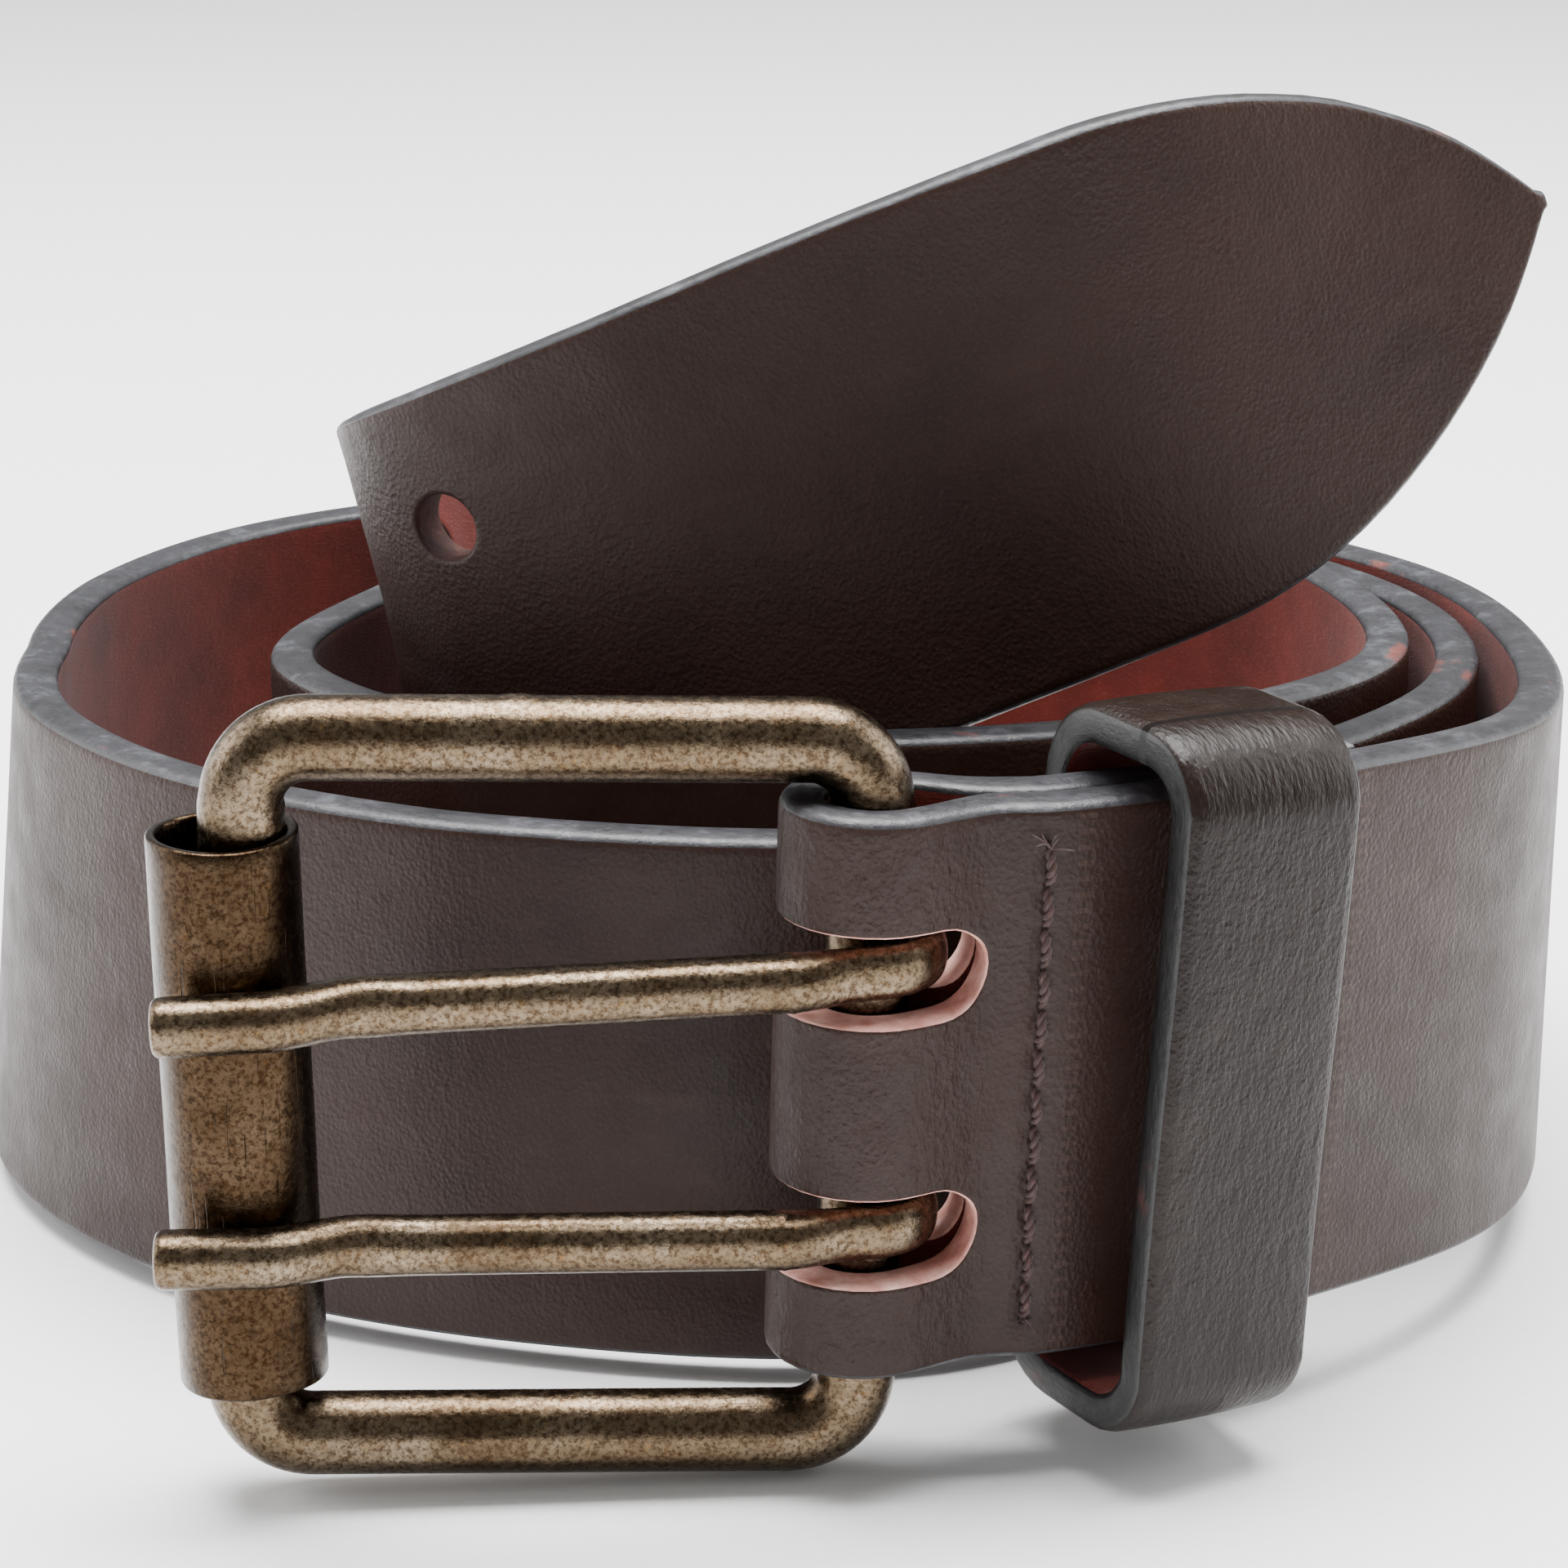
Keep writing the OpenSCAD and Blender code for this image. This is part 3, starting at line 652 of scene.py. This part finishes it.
def make_strap():
    skin = Skin()
    stations = station_list()
    lines = width_lines()
    tip = STRAP_LENGTH + BAR_TO_DATUM
    rng = random.Random(7)
    drift = [rng.uniform(-1, 1) for _ in range(40)]

    def wave(q, w):
        """Slow unevenness of real leather, a fraction of a millimetre."""
        total = 0.0
        for k in range(0, 12, 3):
            total += drift[k] * math.sin(q / (19 + 11 * k) + drift[k + 1] * 6
                                         + w * 0.03 * drift[k + 2])
        return 0.09 * total * ease((q - 50) / 30)

    def place(frame_q, q, w, t):
        base, normal, width, thick = frame_q
        squeeze = 1.0
        end = tip - q
        if end < 0.8:
            squeeze = 0.72 + 0.28 * math.sqrt(max(0, 1 - (1 - end / 0.8) ** 2))
        if q < SLOT_BLOCK[1]:
            near = min(SLOT_BLOCK[1] - q, q - SLOT_BLOCK[0], 3)
            w -= SLOT_DROP * ease(near / 3) * ease(min(w, STRAP_WIDTH - w) / 4)
        side = t * squeeze + wave(q, w)
        if t > 0.9 * thick / 2:
            side -= seam_groove(q, w)
        return skin.add(base + w * width + side * normal, (q, w, t))

    def to_outline(q, w):
        """Draws a width line in with the pointed end."""
        half = half_tip(tip - q)
        if half >= HALF_WIDTH:
            return w
        inset = min(EDGE_INSET, half * 0.6)
        share = (w - HALF_WIDTH) / (HALF_WIDTH - EDGE_INSET)
        return HALF_WIDTH + share * (half - inset)

    frames = [leather_frame(q) for q in stations]
    grain, back, low_rim, high_rim = [], [], [], []
    for q, fr in zip(stations, frames):
        half = fr[3] / 2
        grain.append([place(fr, q, to_outline(q, w), half) for w in lines])
        back.append([place(fr, q, to_outline(q, w), -half) for w in lines])
        reach = half_tip(tip - q)
        pinch = min(1.0, reach / 1.6)
        low, high = [], []
        for inset, depth in edge_profile(half):
            low.append(place(fr, q, HALF_WIDTH - reach + inset * pinch, depth))
            high.append(place(fr, q, HALF_WIDTH + reach - inset * pinch, depth))
        low_rim.append(low)
        high_rim.append(high)

    def inside_block(i, j):
        q = (stations[i] + stations[i + 1]) / 2
        w = (lines[j] + lines[j + 1]) / 2
        return (any(b[0] < q < b[1] for b in BLOCKS)
                and any(abs(w - row) < BLOCK_HALF for row in ROWS))

    for i in range(len(stations) - 1):
        for j in range(len(lines) - 1):
            if inside_block(i, j):
                continue
            skin.face([grain[i][j], grain[i + 1][j], grain[i + 1][j + 1], grain[i][j + 1]],
                      GRAIN)
            skin.face([back[i][j + 1], back[i + 1][j + 1], back[i + 1][j], back[i][j]], FLESH)
        for rim, line, flip in ((low_rim, 0, False), (high_rim, -1, True)):
            a = [grain[i][line]] + rim[i] + [back[i][line]]
            b = [grain[i + 1][line]] + rim[i + 1] + [back[i + 1][line]]
            kinds = [GRAIN, GRAIN] + [EDGE] * (len(a) - 4) + [FLESH]
            for k, kind in enumerate(kinds):
                corners = [a[k], a[k + 1], b[k + 1], b[k]]
                skin.face(corners[::-1] if flip else corners, kind)

    for end, flip in ((0, True), (len(stations) - 1, False)):
        top, under = grain[end], back[end]
        for j in range(len(lines) - 1):
            corners = [top[j], under[j], under[j + 1], top[j + 1]]
            skin.face(corners[::-1] if flip else corners, EDGE)
        for rim, line, turn in ((low_rim, 0, True), (high_rim, -1, False)):
            loop = [top[line]] + rim[end] + [under[line]]
            skin.face(loop[::-1] if turn != flip else loop, EDGE)

    cache = {round(q, 6): fr for q, fr in zip(stations, frames)}

    def frame_of(q):
        key = round(q, 6)
        if key not in cache:
            cache[key] = leather_frame(q)
        return cache[key]

    def rings_for(block, row, bottom):
        """The rings of one opening, from its block's border in to the rim and down the wall."""
        first, last, arc_0, arc_1, radius = block
        i_0 = min(range(len(stations)), key=lambda i: abs(stations[i] - first))
        i_1 = min(range(len(stations)), key=lambda i: abs(stations[i] - last))
        j_0 = min(range(len(lines)), key=lambda j: abs(lines[j] - (row - BLOCK_HALF)))
        j_1 = j_0 + BLOCK_STEPS
        border = [(i, j_0) for i in range(i_0, i_1)] + [(i_1, j) for j in range(j_0, j_1)]
        border += [(i, j_1) for i in range(i_1, i_0, -1)]
        border += [(i_0, j) for j in range(j_1, j_0, -1)]
        sheet = back if bottom else grain
        outer = [sheet[i][j] for i, j in border]
        spots = []
        for i, j in border:
            q, w = stations[i], lines[j]
            centre = min(max(q, arc_0), arc_1)
            away = Vector((q - centre, w - row, 0))
            if abs(q - centre) < 1e-6:
                away = Vector((0, w - row, 0))
            spots.append(((q, w), centre, away.normalized()))
        rings = [outer]
        for share in (0.3, 0.62, 0.86):
            ring = []
            for (q, w), centre, away in spots:
                rim_q = centre + (radius + 0.45) * away.x
                rim_w = row + (radius + 0.45) * away.y
                spot = (mix(q, rim_q, share), mix(w, rim_w, share))
                fr = frame_of(spot[0])
                side = -fr[3] / 2 if bottom else fr[3] / 2
                ring.append(place(fr, spot[0], spot[1], side))
            rings.append(ring)
        steps = [(0.45, 0.0), (0.2, 0.06), (0.05, 0.22), (0.0, 0.5)]
        for out, down in steps:
            ring = []
            for _, centre, away in spots:
                q = centre + (radius + out) * away.x
                fr = frame_of(q)
                side = fr[3] / 2 - down
                ring.append(place(fr, q, row + (radius + out) * away.y,
                                  -side if bottom else side))
            rings.append(ring)
        return rings

    for block in BLOCKS:
        # punched holes take the darker wall material, whose darkness is painted shade
        wall = CUT if block is SLOT_BLOCK else PUNCHED
        for row in ROWS:
            top = rings_for(block, row, False)
            under = rings_for(block, row, True)
            for k, (a, b) in enumerate(zip(top, top[1:])):
                skin.strip(a, b, GRAIN if k < 5 else wall, closed=True)
            for k, (a, b) in enumerate(zip(under, under[1:])):
                skin.strip(b, a, FLESH if k < 5 else wall, closed=True)
            skin.strip(top[-1], under[-1], wall, closed=True)

    strap = skin.piece("strap_leather", "belt", "strap_leather",
                       [strap_grain, flesh, edge, cut_wall, punched_wall_painted_shade])
    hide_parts("strap")
    return strap


make_strap()

# ---- The buckle ------------------------------------------------------------------------
TURN_X = math.cos(BUCKLE_TURN) * SEWN_DIR - math.sin(BUCKLE_TURN) * SEWN_OUT
TURN_Y = -math.sin(BUCKLE_TURN) * SEWN_DIR - math.cos(BUCKLE_TURN) * SEWN_OUT


def on_bar(x, y, z):
    """A point given in the buckle's own axes: x towards the strap, y away from its face."""
    return BAR_POINT + x * TURN_X + y * TURN_Y + z * BAR_UP


def make_frame():
    """Bent wire, butt-welded in the middle of the top bar."""
    skin = Skin()
    half_x, half_z = BAR_SPACING / 2, FRAME_RISE / 2
    in_x, in_z = half_x - CORNER_RADIUS, half_z - CORNER_RADIUS
    path = []
    for k in range(0, 41):
        path.append((mix(-in_x, in_x, k / 40), half_z))
    corners = [(in_x, in_z, 90), (in_x, -in_z, 0), (-in_x, -in_z, -90), (-in_x, in_z, 180)]
    for n, (cx, cz, start) in enumerate(corners):
        for k in range(1, 16):
            a = math.radians(start - 90 * k / 16)
            path.append((cx + CORNER_RADIUS * math.cos(a), cz + CORNER_RADIUS * math.sin(a)))
        if n == 0:
            path += [(half_x, mix(in_z, -in_z, k / 24)) for k in range(25)]
        elif n == 1:
            path += [(mix(in_x, -in_x, k / 24), -half_z) for k in range(25)]
        elif n == 2:
            path += [(-half_x, mix(-in_z, in_z, k / 24)) for k in range(25)]
    weld_x = -3.2
    sides = 32
    rings, run = [], 0.0
    for k, (x, z) in enumerate(path):
        px, pz = path[k - 1]
        nx, nz = path[(k + 1) % len(path)]
        run += math.hypot(x - px, z - pz) if k else 0
        ahead = Vector((nx - px, 0, nz - pz)).normalized()
        out = Vector((ahead.z, 0, -ahead.x)) * -1
        on_top = z > in_z + CORNER_RADIUS * 0.98
        weld = 0.16 * math.exp(-((x - weld_x) / 0.7) ** 2) if on_top else 0
        bend = 1 - abs(abs(x) - half_x) / CORNER_RADIUS if abs(z) > in_z else 0
        squash = 0.10 * max(0.0, min(1.0, bend)) if abs(x) > in_x else 0
        ring = []
        for j in range(sides):
            a = 2 * math.pi * j / sides
            r = WIRE_RADIUS + weld * (0.6 + 0.4 * math.sin(3 * a + 1))
            depth = r * math.sin(a) * (1 + 0.3 * squash)
            level = r * math.cos(a) * (1 - 0.3 * squash)
            spot = (x - half_x + level * out.x, depth, z + level * out.z - FRAME_DROP)
            ring.append(skin.add(on_bar(*spot), (run, r * a, 0)))
        rings.append(ring)
    for k, ring in enumerate(rings):
        skin.strip(ring, rings[(k + 1) % len(rings)], closed=True)
    piece = skin.piece("frame_wire", "buckle", "antique_brass", [brass])
    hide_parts("buckle_frame")


ROLLER_AXIS = Vector(joints["roller_spin"]["axis"]).normalized()
ROLLER_POINT = Vector(joints["roller_spin"]["pos_m"]) / MM
SEAM_TURN = math.radians(45)
SEAM_HALF = math.radians(2.4)


def make_roller():
    """Sheet rolled into a tube, its seam left open at the back and its ends sheared."""
    skin = Skin()
    side_x = (TURN_X - TURN_X.dot(ROLLER_AXIS) * ROLLER_AXIS).normalized()
    side_y = ROLLER_AXIS.cross(side_x)
    steps, levels = 72, 34
    wall = ROLLER_RADIUS - ROLLER_BORE
    section = [(0.0, 0.28), (0.06, 0.1), (0.25, 0.0)]

    def loop(z_share):
        """The closed C-shaped outline of the sheet at one level."""
        outside, inside = [], []
        for k in range(steps + 1):
            share = k / steps
            a = SEAM_TURN + SEAM_HALF + share * (2 * math.pi - 2 * SEAM_HALF)
            lift = 0.12 * (max(0, 1 - share * 14) + max(0, share * 14 - 13))
            dent = 0.05 * math.sin(3 * a + 2 + 5 * z_share) * math.sin(7 * z_share + 1)
            outside.append((ROLLER_RADIUS + lift + dent - 0.05, a))
            inside.append((ROLLER_BORE + lift, a))
        return outside, inside

    rows_out, rows_in = [], []
    levels_z = [0.0, 0.1, 0.28] + [0.28 + (ROLLER_LENGTH - 0.56) * k / levels
                                   for k in range(1, levels)]
    levels_z += [ROLLER_LENGTH - 0.28, ROLLER_LENGTH - 0.1, ROLLER_LENGTH]
    for z in levels_z:
        end = min(z, ROLLER_LENGTH - z)
        inset = next((i for i, e in [(0.24, 0.05), (0.08, 0.2)] if end < e), 0.0)
        outside, inside = loop(z / ROLLER_LENGTH)
        for rows, outline, sign in ((rows_out, outside, -1), (rows_in, inside, 1)):
            row = []
            for radius, a in outline:
                r = radius + sign * inset
                wobble = 0.12 * math.sin(2 * a + 0.7) if end < 0.3 else 0.0
                point = (ROLLER_POINT + r * math.cos(a) * side_x + r * math.sin(a) * side_y
                         + (z - ROLLER_LENGTH / 2 + (wobble if z > 20 else -wobble))
                         * ROLLER_AXIS)
                row.append(skin.add(point, (z, radius * a, wall if sign > 0 else 0)))
            rows.append(row)
    for a, b in zip(rows_out, rows_out[1:]):
        skin.strip(a, b)
    for a, b in zip(rows_in, rows_in[1:]):
        skin.strip(b, a)
    skin.strip(rows_in[0], rows_out[0])
    skin.strip(rows_out[-1], rows_in[-1])
    for k in range(len(levels_z) - 1):
        skin.face([rows_in[k][0], rows_out[k][0], rows_out[k + 1][0], rows_in[k + 1][0]])
        skin.face([rows_out[k][-1], rows_in[k][-1], rows_in[k + 1][-1], rows_out[k + 1][-1]])
    # the roller takes the darker brass, its darkness painted shade
    piece = skin.piece("roller_tube_sheet", "roller_tube", "antique_brass", [roller_brass_painted_shade])
    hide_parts("roller")


HOOK_WALL = 2.3
HOOK_WRAP = 198
NECK = 6.5
STEP_FROM = 38.5
STEP_TO = 45.5
SEAT_DEPTH = ROLLER_RADIUS + PRONG_RADIUS + 0.1
ROD_DEPTH = BAR_HOLE + PRONG_RADIUS


def make_prong(name, node, body, level, slope):
    """One wire: a flattened hook round the bar, a round rod, a step, and a blunt end."""
    skin = Skin()
    hook_mid = BAR_HOLE + 0.05 + HOOK_WALL / 2
    stops = []
    for k in range(0, 41):
        a = math.radians(-90 + HOOK_WRAP * (1 - k / 40))
        taper = min(1, (k + 0.4) / 3)
        stops.append(((hook_mid * math.cos(a), hook_mid * math.sin(a)),
                      HOOK_WALL / 2 * math.sqrt(taper), 2.1 * math.sqrt(taper), 0.0))
    u = 0.0
    while u < PRONG_LENGTH - 1.2:
        u += 0.25 if u < 8 else 0.8
        u = min(u, PRONG_LENGTH - 1.0)
        share = ease(u / NECK)
        depth = mix(hook_mid, ROD_DEPTH, share)
        depth += (SEAT_DEPTH - ROD_DEPTH) * ease((u - STEP_FROM) / (STEP_TO - STEP_FROM))
        thin = mix(HOOK_WALL / 2, PRONG_RADIUS, share)
        tall = mix(2.1, PRONG_RADIUS, share)
        ring_line = sum(math.exp(-((u - at) / 0.22) ** 2) for at in (0.9, 6.3))
        flat_side = 0.12 * math.exp(-((u - 37.5) / 2.2) ** 2)
        stops.append(((-u, -depth), thin - flat_side, tall + flat_side, 0.07 * ring_line))
    for back, share in ((0.55, 0.985), (0.25, 0.93), (0.08, 0.84), (0.0, 0.7), (0.0, 0.3)):
        stops.append(((-PRONG_LENGTH + back, -SEAT_DEPTH), PRONG_RADIUS * share,
                      PRONG_RADIUS * share, 0.0))
    sides = 28
    rings, run = [], 0.0
    for k, ((x, y), thin, tall, bead) in enumerate(stops):
        before, after = stops[max(k - 1, 0)][0], stops[min(k + 1, len(stops) - 1)][0]
        ahead = Vector((after[0] - before[0], after[1] - before[1], 0))
        if ahead.length < 1e-6 or k >= len(stops) - 4:
            ahead = Vector((-1, 0, 0))
        ahead.normalize()
        out = Vector((-ahead.y, ahead.x, 0))
        run += (Vector(stops[k][0]) - Vector(stops[k - 1][0])).length if k else 0
        ring = []
        for j in range(sides):
            a = 2 * math.pi * j / sides
            sn, cs = math.sin(a), math.cos(a)
            across = (thin + bead) * math.copysign(abs(cs) ** 0.92, cs)
            rise = (tall + bead) * math.copysign(abs(sn) ** 0.92, sn)
            spot = Vector((x, y, 0)) + across * out
            run_x = spot.x * math.cos(slope) - rise * math.sin(slope)
            run_z = spot.x * math.sin(slope) + rise * math.cos(slope)
            ring.append(skin.add(on_bar(run_x, spot.y, level + run_z),
                                 (run, a * PRONG_RADIUS, level)))
        rings.append(ring)
    for a, b in zip(rings, rings[1:]):
        skin.strip(a, b, closed=True)
    skin.face(rings[0][::-1])
    skin.face(rings[-1])
    piece = skin.piece(name, body, "antique_brass", [brass])
    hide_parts(node)


make_frame()
make_roller()
make_prong("prong_wire_upper", "prong_upper", "upper_prong", ROW_SPACING / 2 - PRONG_DROP,
           UPPER_SLOPE)
make_prong("prong_wire_lower", "prong_lower", "lower_prong", -ROW_SPACING / 2 - PRONG_DROP,
           LOWER_SLOPE)

# ---- The keeper ------------------------------------------------------------------------
def make_keeper():
    """A closed loop of stiff leather, slightly crowned, with inked cut edges."""
    skin = Skin()
    base, normal, width = strap_frame(KEEPER_AT)
    ahead = width.cross(normal).normalized()
    middle = base + HALF_WIDTH * width
    back_face = HALF_THICK + LEAF_GAP + STRAP_THICK + KEEPER_PLAY
    centre = middle - (back_face - KEEPER_DEPTH / 2) * normal
    half_d = KEEPER_DEPTH / 2
    half_h = KEEPER_HEIGHT / 2 - KEEPER_THICK
    inner_corner = KEEPER_CORNER - KEEPER_THICK
    outline = []

    def straight(a, b, out, count):
        for k in range(count):
            t = k / count
            outline.append((mix(a[0], b[0], t), mix(a[1], b[1], t), out))

    def corner(cx, cz, start):
        for k in range(8):
            a = math.radians(start - 90 * k / 8)
            outline.append((cx + inner_corner * math.cos(a), cz + inner_corner * math.sin(a),
                            (math.cos(a), math.sin(a))))

    x_in, z_in = half_d - inner_corner, half_h - inner_corner
    corner(x_in, z_in, 90)
    straight((half_d, z_in), (half_d, -z_in), (1, 0), 40)
    corner(x_in, -z_in, 0)
    straight((x_in, -half_h), (-x_in, -half_h), (0, -1), 8)
    corner(-x_in, -z_in, -90)
    straight((-half_d, -z_in), (-half_d, z_in), (-1, 0), 20)
    corner(-x_in, z_in, 180)
    straight((-x_in, half_h), (x_in, half_h), (0, 1), 8)
    half_w = KEEPER_WIDTH / 2
    section = []
    for share in (-0.86, -0.6, -0.3, 0, 0.3, 0.6, 0.86):
        section.append((half_w * share, KEEPER_THICK, 0))
    for a in (30, 60, 90):
        turn = math.radians(a)
        section.append((half_w - 0.9 + 0.9 * math.sin(turn),
                        KEEPER_THICK - 0.9 + 0.9 * math.cos(turn), 2 if a > 30 else 0))
    section += [(half_w + 0.05, 1.5, 2), (half_w, 0.7, 2), (half_w - 0.25, 0.15, 2),
                (half_w - 0.8, 0.0, 1), (half_w * 0.4, 0, 1), (-half_w * 0.4, 0, 1),
                (-half_w + 0.8, 0.0, 1), (-half_w + 0.25, 0.15, 1), (-half_w, 0.7, 2),
                (-half_w - 0.05, 1.5, 2)]
    for a in (90, 60, 30):
        turn = math.radians(a)
        section.append((-half_w + 0.9 - 0.9 * math.sin(turn),
                        KEEPER_THICK - 0.9 + 0.9 * math.cos(turn), 2 if a == 90 else 0))
    rings, run = [], 0.0
    for k, (d, z, out) in enumerate(outline):
        if k:
            run += math.hypot(d - outline[k - 1][0], z - outline[k - 1][1])
        ring = []
        for across, lift, _ in section:
            crown = 0.25 * (1 - (across / half_w) ** 2) if lift > 1 else 0
            crown -= 0.25 if lift > 1 else 0
            sag = 0.5 * math.sin(z / half_h * 1.6 + 0.4) * (1 if out[0] > 0.5 else 0)
            point = (centre + (across + 0.3 * math.sin(z / 14)) * ahead
                     + (d + out[0] * (lift + crown)) * normal
                     + (z + out[1] * (lift + crown)) * width)
            point += -0.25 * (1 - abs(sag)) * normal if out[0] > 0.99 else Vector((0, 0, 0))
            ring.append(skin.add(point, (across + 60, run, lift)))
        rings.append(ring)
    count = len(section)
    for k in range(len(rings)):
        a, b = rings[k], rings[(k + 1) % len(rings)]
        for j in range(count):
            n = (j + 1) % count
            kind = section[j][2] if section[j][2] == section[n][2] else 2
            skin.face([a[j], b[j], b[n], a[n]], kind)
    piece = skin.piece("keeper_loop", "belt", "keeper_leather",
                       [keeper_grain, flesh, keeper_edge])
    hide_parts("keeper")


make_keeper()

# ---- The seams -------------------------------------------------------------------------
PLY_RADIUS = 0.24
PLY_OFFSET = 0.2
PLY_PITCH = 1.7


def make_seam(name, nodes, seam, behind):
    """Two-ply thread lying in its groove and dipping into the leather at each needle hole."""
    skin = Skin()
    rng = random.Random(11 if behind else 5)
    base, normal, width = strap_frame(seam)
    face = -(HALF_THICK + LEAF_GAP + STRAP_THICK) if behind else HALF_THICK - GROOVE_DEPTH
    outward = -normal if behind else normal
    start = base + face * normal + HALF_WIDTH * width
    ahead = width.cross(normal).normalized()
    span = STITCH_COUNT * STITCH_PITCH
    line = []
    steps_per_stitch = 12
    for k in range(STITCH_COUNT * steps_per_stitch + 1):
        t = k / steps_per_stitch
        arch = abs(math.sin(math.pi * t)) ** 0.6
        lift = mix(-0.75, 0.34, arch)
        sway = 0.05 * math.sin(2 * math.pi * t) + 0.04 * math.sin(t * 1.7)
        line.append(start + (t * STITCH_PITCH - span / 2) * width + lift * outward
                    + sway * ahead)
    for ply in range(2):
        path, run = [], 0.0
        for k, (point, side, other) in enumerate(turning_frames(line)):
            if k:
                run += (point - line[k - 1]).length
            a = 2 * math.pi * run / PLY_PITCH + math.pi * ply
            path.append(point + PLY_OFFSET * (math.cos(a) * side + math.sin(a) * other))
        add_tube(skin, path, PLY_RADIUS, sides=7)
    # a shallow sunken disc at each needle hole, coloured near-black as painted shade
    for k in range(STITCH_COUNT + 1):
        level = k * STITCH_PITCH - span / 2
        hole = start + level * width + 0.02 * outward
        ring = []
        for j in range(10):
            a = 2 * math.pi * j / 10
            ring.append(skin.add(hole + 0.42 * math.cos(a) * ahead
                                 + 0.5 * math.sin(a) * width, (level, a, 0)))
        middle = skin.add(hole - 0.4 * outward, (level, 0, 0))
        for j in range(10):
            skin.face([ring[j], ring[(j + 1) % 10], middle], 1)
    for end in (-1, 1):
        for k in range(7):
            root = start + end * (span / 2 - 0.2) * width + 0.15 * outward
            path = [root]
            heading = (end * rng.uniform(0.2, 1.0) * width + rng.uniform(-0.9, 0.9) * ahead
                       + rng.uniform(0.1, 0.7) * outward).normalized()
            curl = Vector([rng.uniform(-0.5, 0.5) for _ in range(3)])
            length = rng.uniform(0.5, 1.4) * (1 if end > 0 else 0.6)
            for _ in range(6):
                heading = (heading + 0.35 * curl).normalized()
                path.append(path[-1] + length / 3 * heading)
            add_tube(skin, path, 0.06, sides=5, taper_ends=True)
    piece = skin.piece(name, "belt", "thread", [thread, hole_painted_shade])
    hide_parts(*nodes)


make_seam("seam_front_needle", ["needle_thread_front"], FRONT_SEAM, False)
make_seam("seam_front_bobbin", ["bobbin_thread_front"], FRONT_SEAM, True)
make_seam("seam_rear_needle", ["needle_thread_rear"], REAR_SEAM, False)
make_seam("seam_rear_bobbin", ["bobbin_thread_rear"], REAR_SEAM, True)

# ---- Studio ----------------------------------------------------------------------------
FLOOR_HALF = 3.0


def make_floor():
    mesh = bpy.data.meshes.new("floor")
    corners = [(-FLOOR_HALF, -FLOOR_HALF, 0), (FLOOR_HALF, -FLOOR_HALF, 0),
               (FLOOR_HALF, FLOOR_HALF, 0), (-FLOOR_HALF, FLOOR_HALF, 0)]
    mesh.from_pydata(corners, [], [(0, 1, 2, 3)])
    floor = bpy.data.objects.new("floor", mesh)
    m = Shade("floor_paper")
    paper = m.noise(m.solid(), 900, 3)
    color = m.ramp(paper, [(0.3, (0.93, 0.93, 0.93)), (0.7, (0.96, 0.96, 0.96))])
    mesh.materials.append(m.finish(color, 0.7, m.bump(paper, 0.00002)))
    bpy.context.scene.collection.objects.link(floor)


def make_light(name, place, aim, size, power):
    data = bpy.data.lights.new(name, "AREA")
    data.shape = "RECTANGLE"
    data.size, data.size_y = size
    data.energy = power
    light = bpy.data.objects.new(name, data)
    light.location = place
    toward = Vector(aim) - Vector(place)
    light.rotation_euler = toward.to_track_quat("-Z", "Y").to_euler()
    bpy.context.scene.collection.objects.link(light)


def make_world(level):
    world = bpy.data.worlds.new("studio")
    world.use_nodes = True
    back = world.node_tree.nodes["Background"]
    back.inputs["Color"].default_value = (1, 1, 1, 1)
    back.inputs["Strength"].default_value = level
    bpy.context.scene.world = world


# The camera stands in front of the buckle and a little above, as the belt was photographed
CAMERA_FROM_BAR = Vector((-6.1, -303.7, 119.5)) * MM
CAMERA_PITCH = math.radians(90 - 17.58)
FOCAL_LENGTH = 97.9


def make_camera():
    data = bpy.data.cameras.new("camera")
    data.lens = FOCAL_LENGTH
    data.sensor_width = 36
    data.clip_start = 0.01
    camera = bpy.data.objects.new("camera", data)
    camera.location = BAR_POINT * MM + CAMERA_FROM_BAR
    camera.rotation_euler = (CAMERA_PITCH, 0, 0)
    bpy.context.scene.collection.objects.link(camera)
    bpy.context.scene.camera = camera


make_floor()
make_world(0.46)
belt_middle = (0, 0, 0.04)
make_light("soft_left", (-0.7, 0.15, 0.35), belt_middle, (0.7, 0.6), 5)
make_light("soft_right", (0.7, 0.15, 0.35), belt_middle, (0.7, 0.6), 5)
make_light("soft_top", (0.0, 0.1, 0.9), belt_middle, (0.9, 0.6), 38)
make_camera()
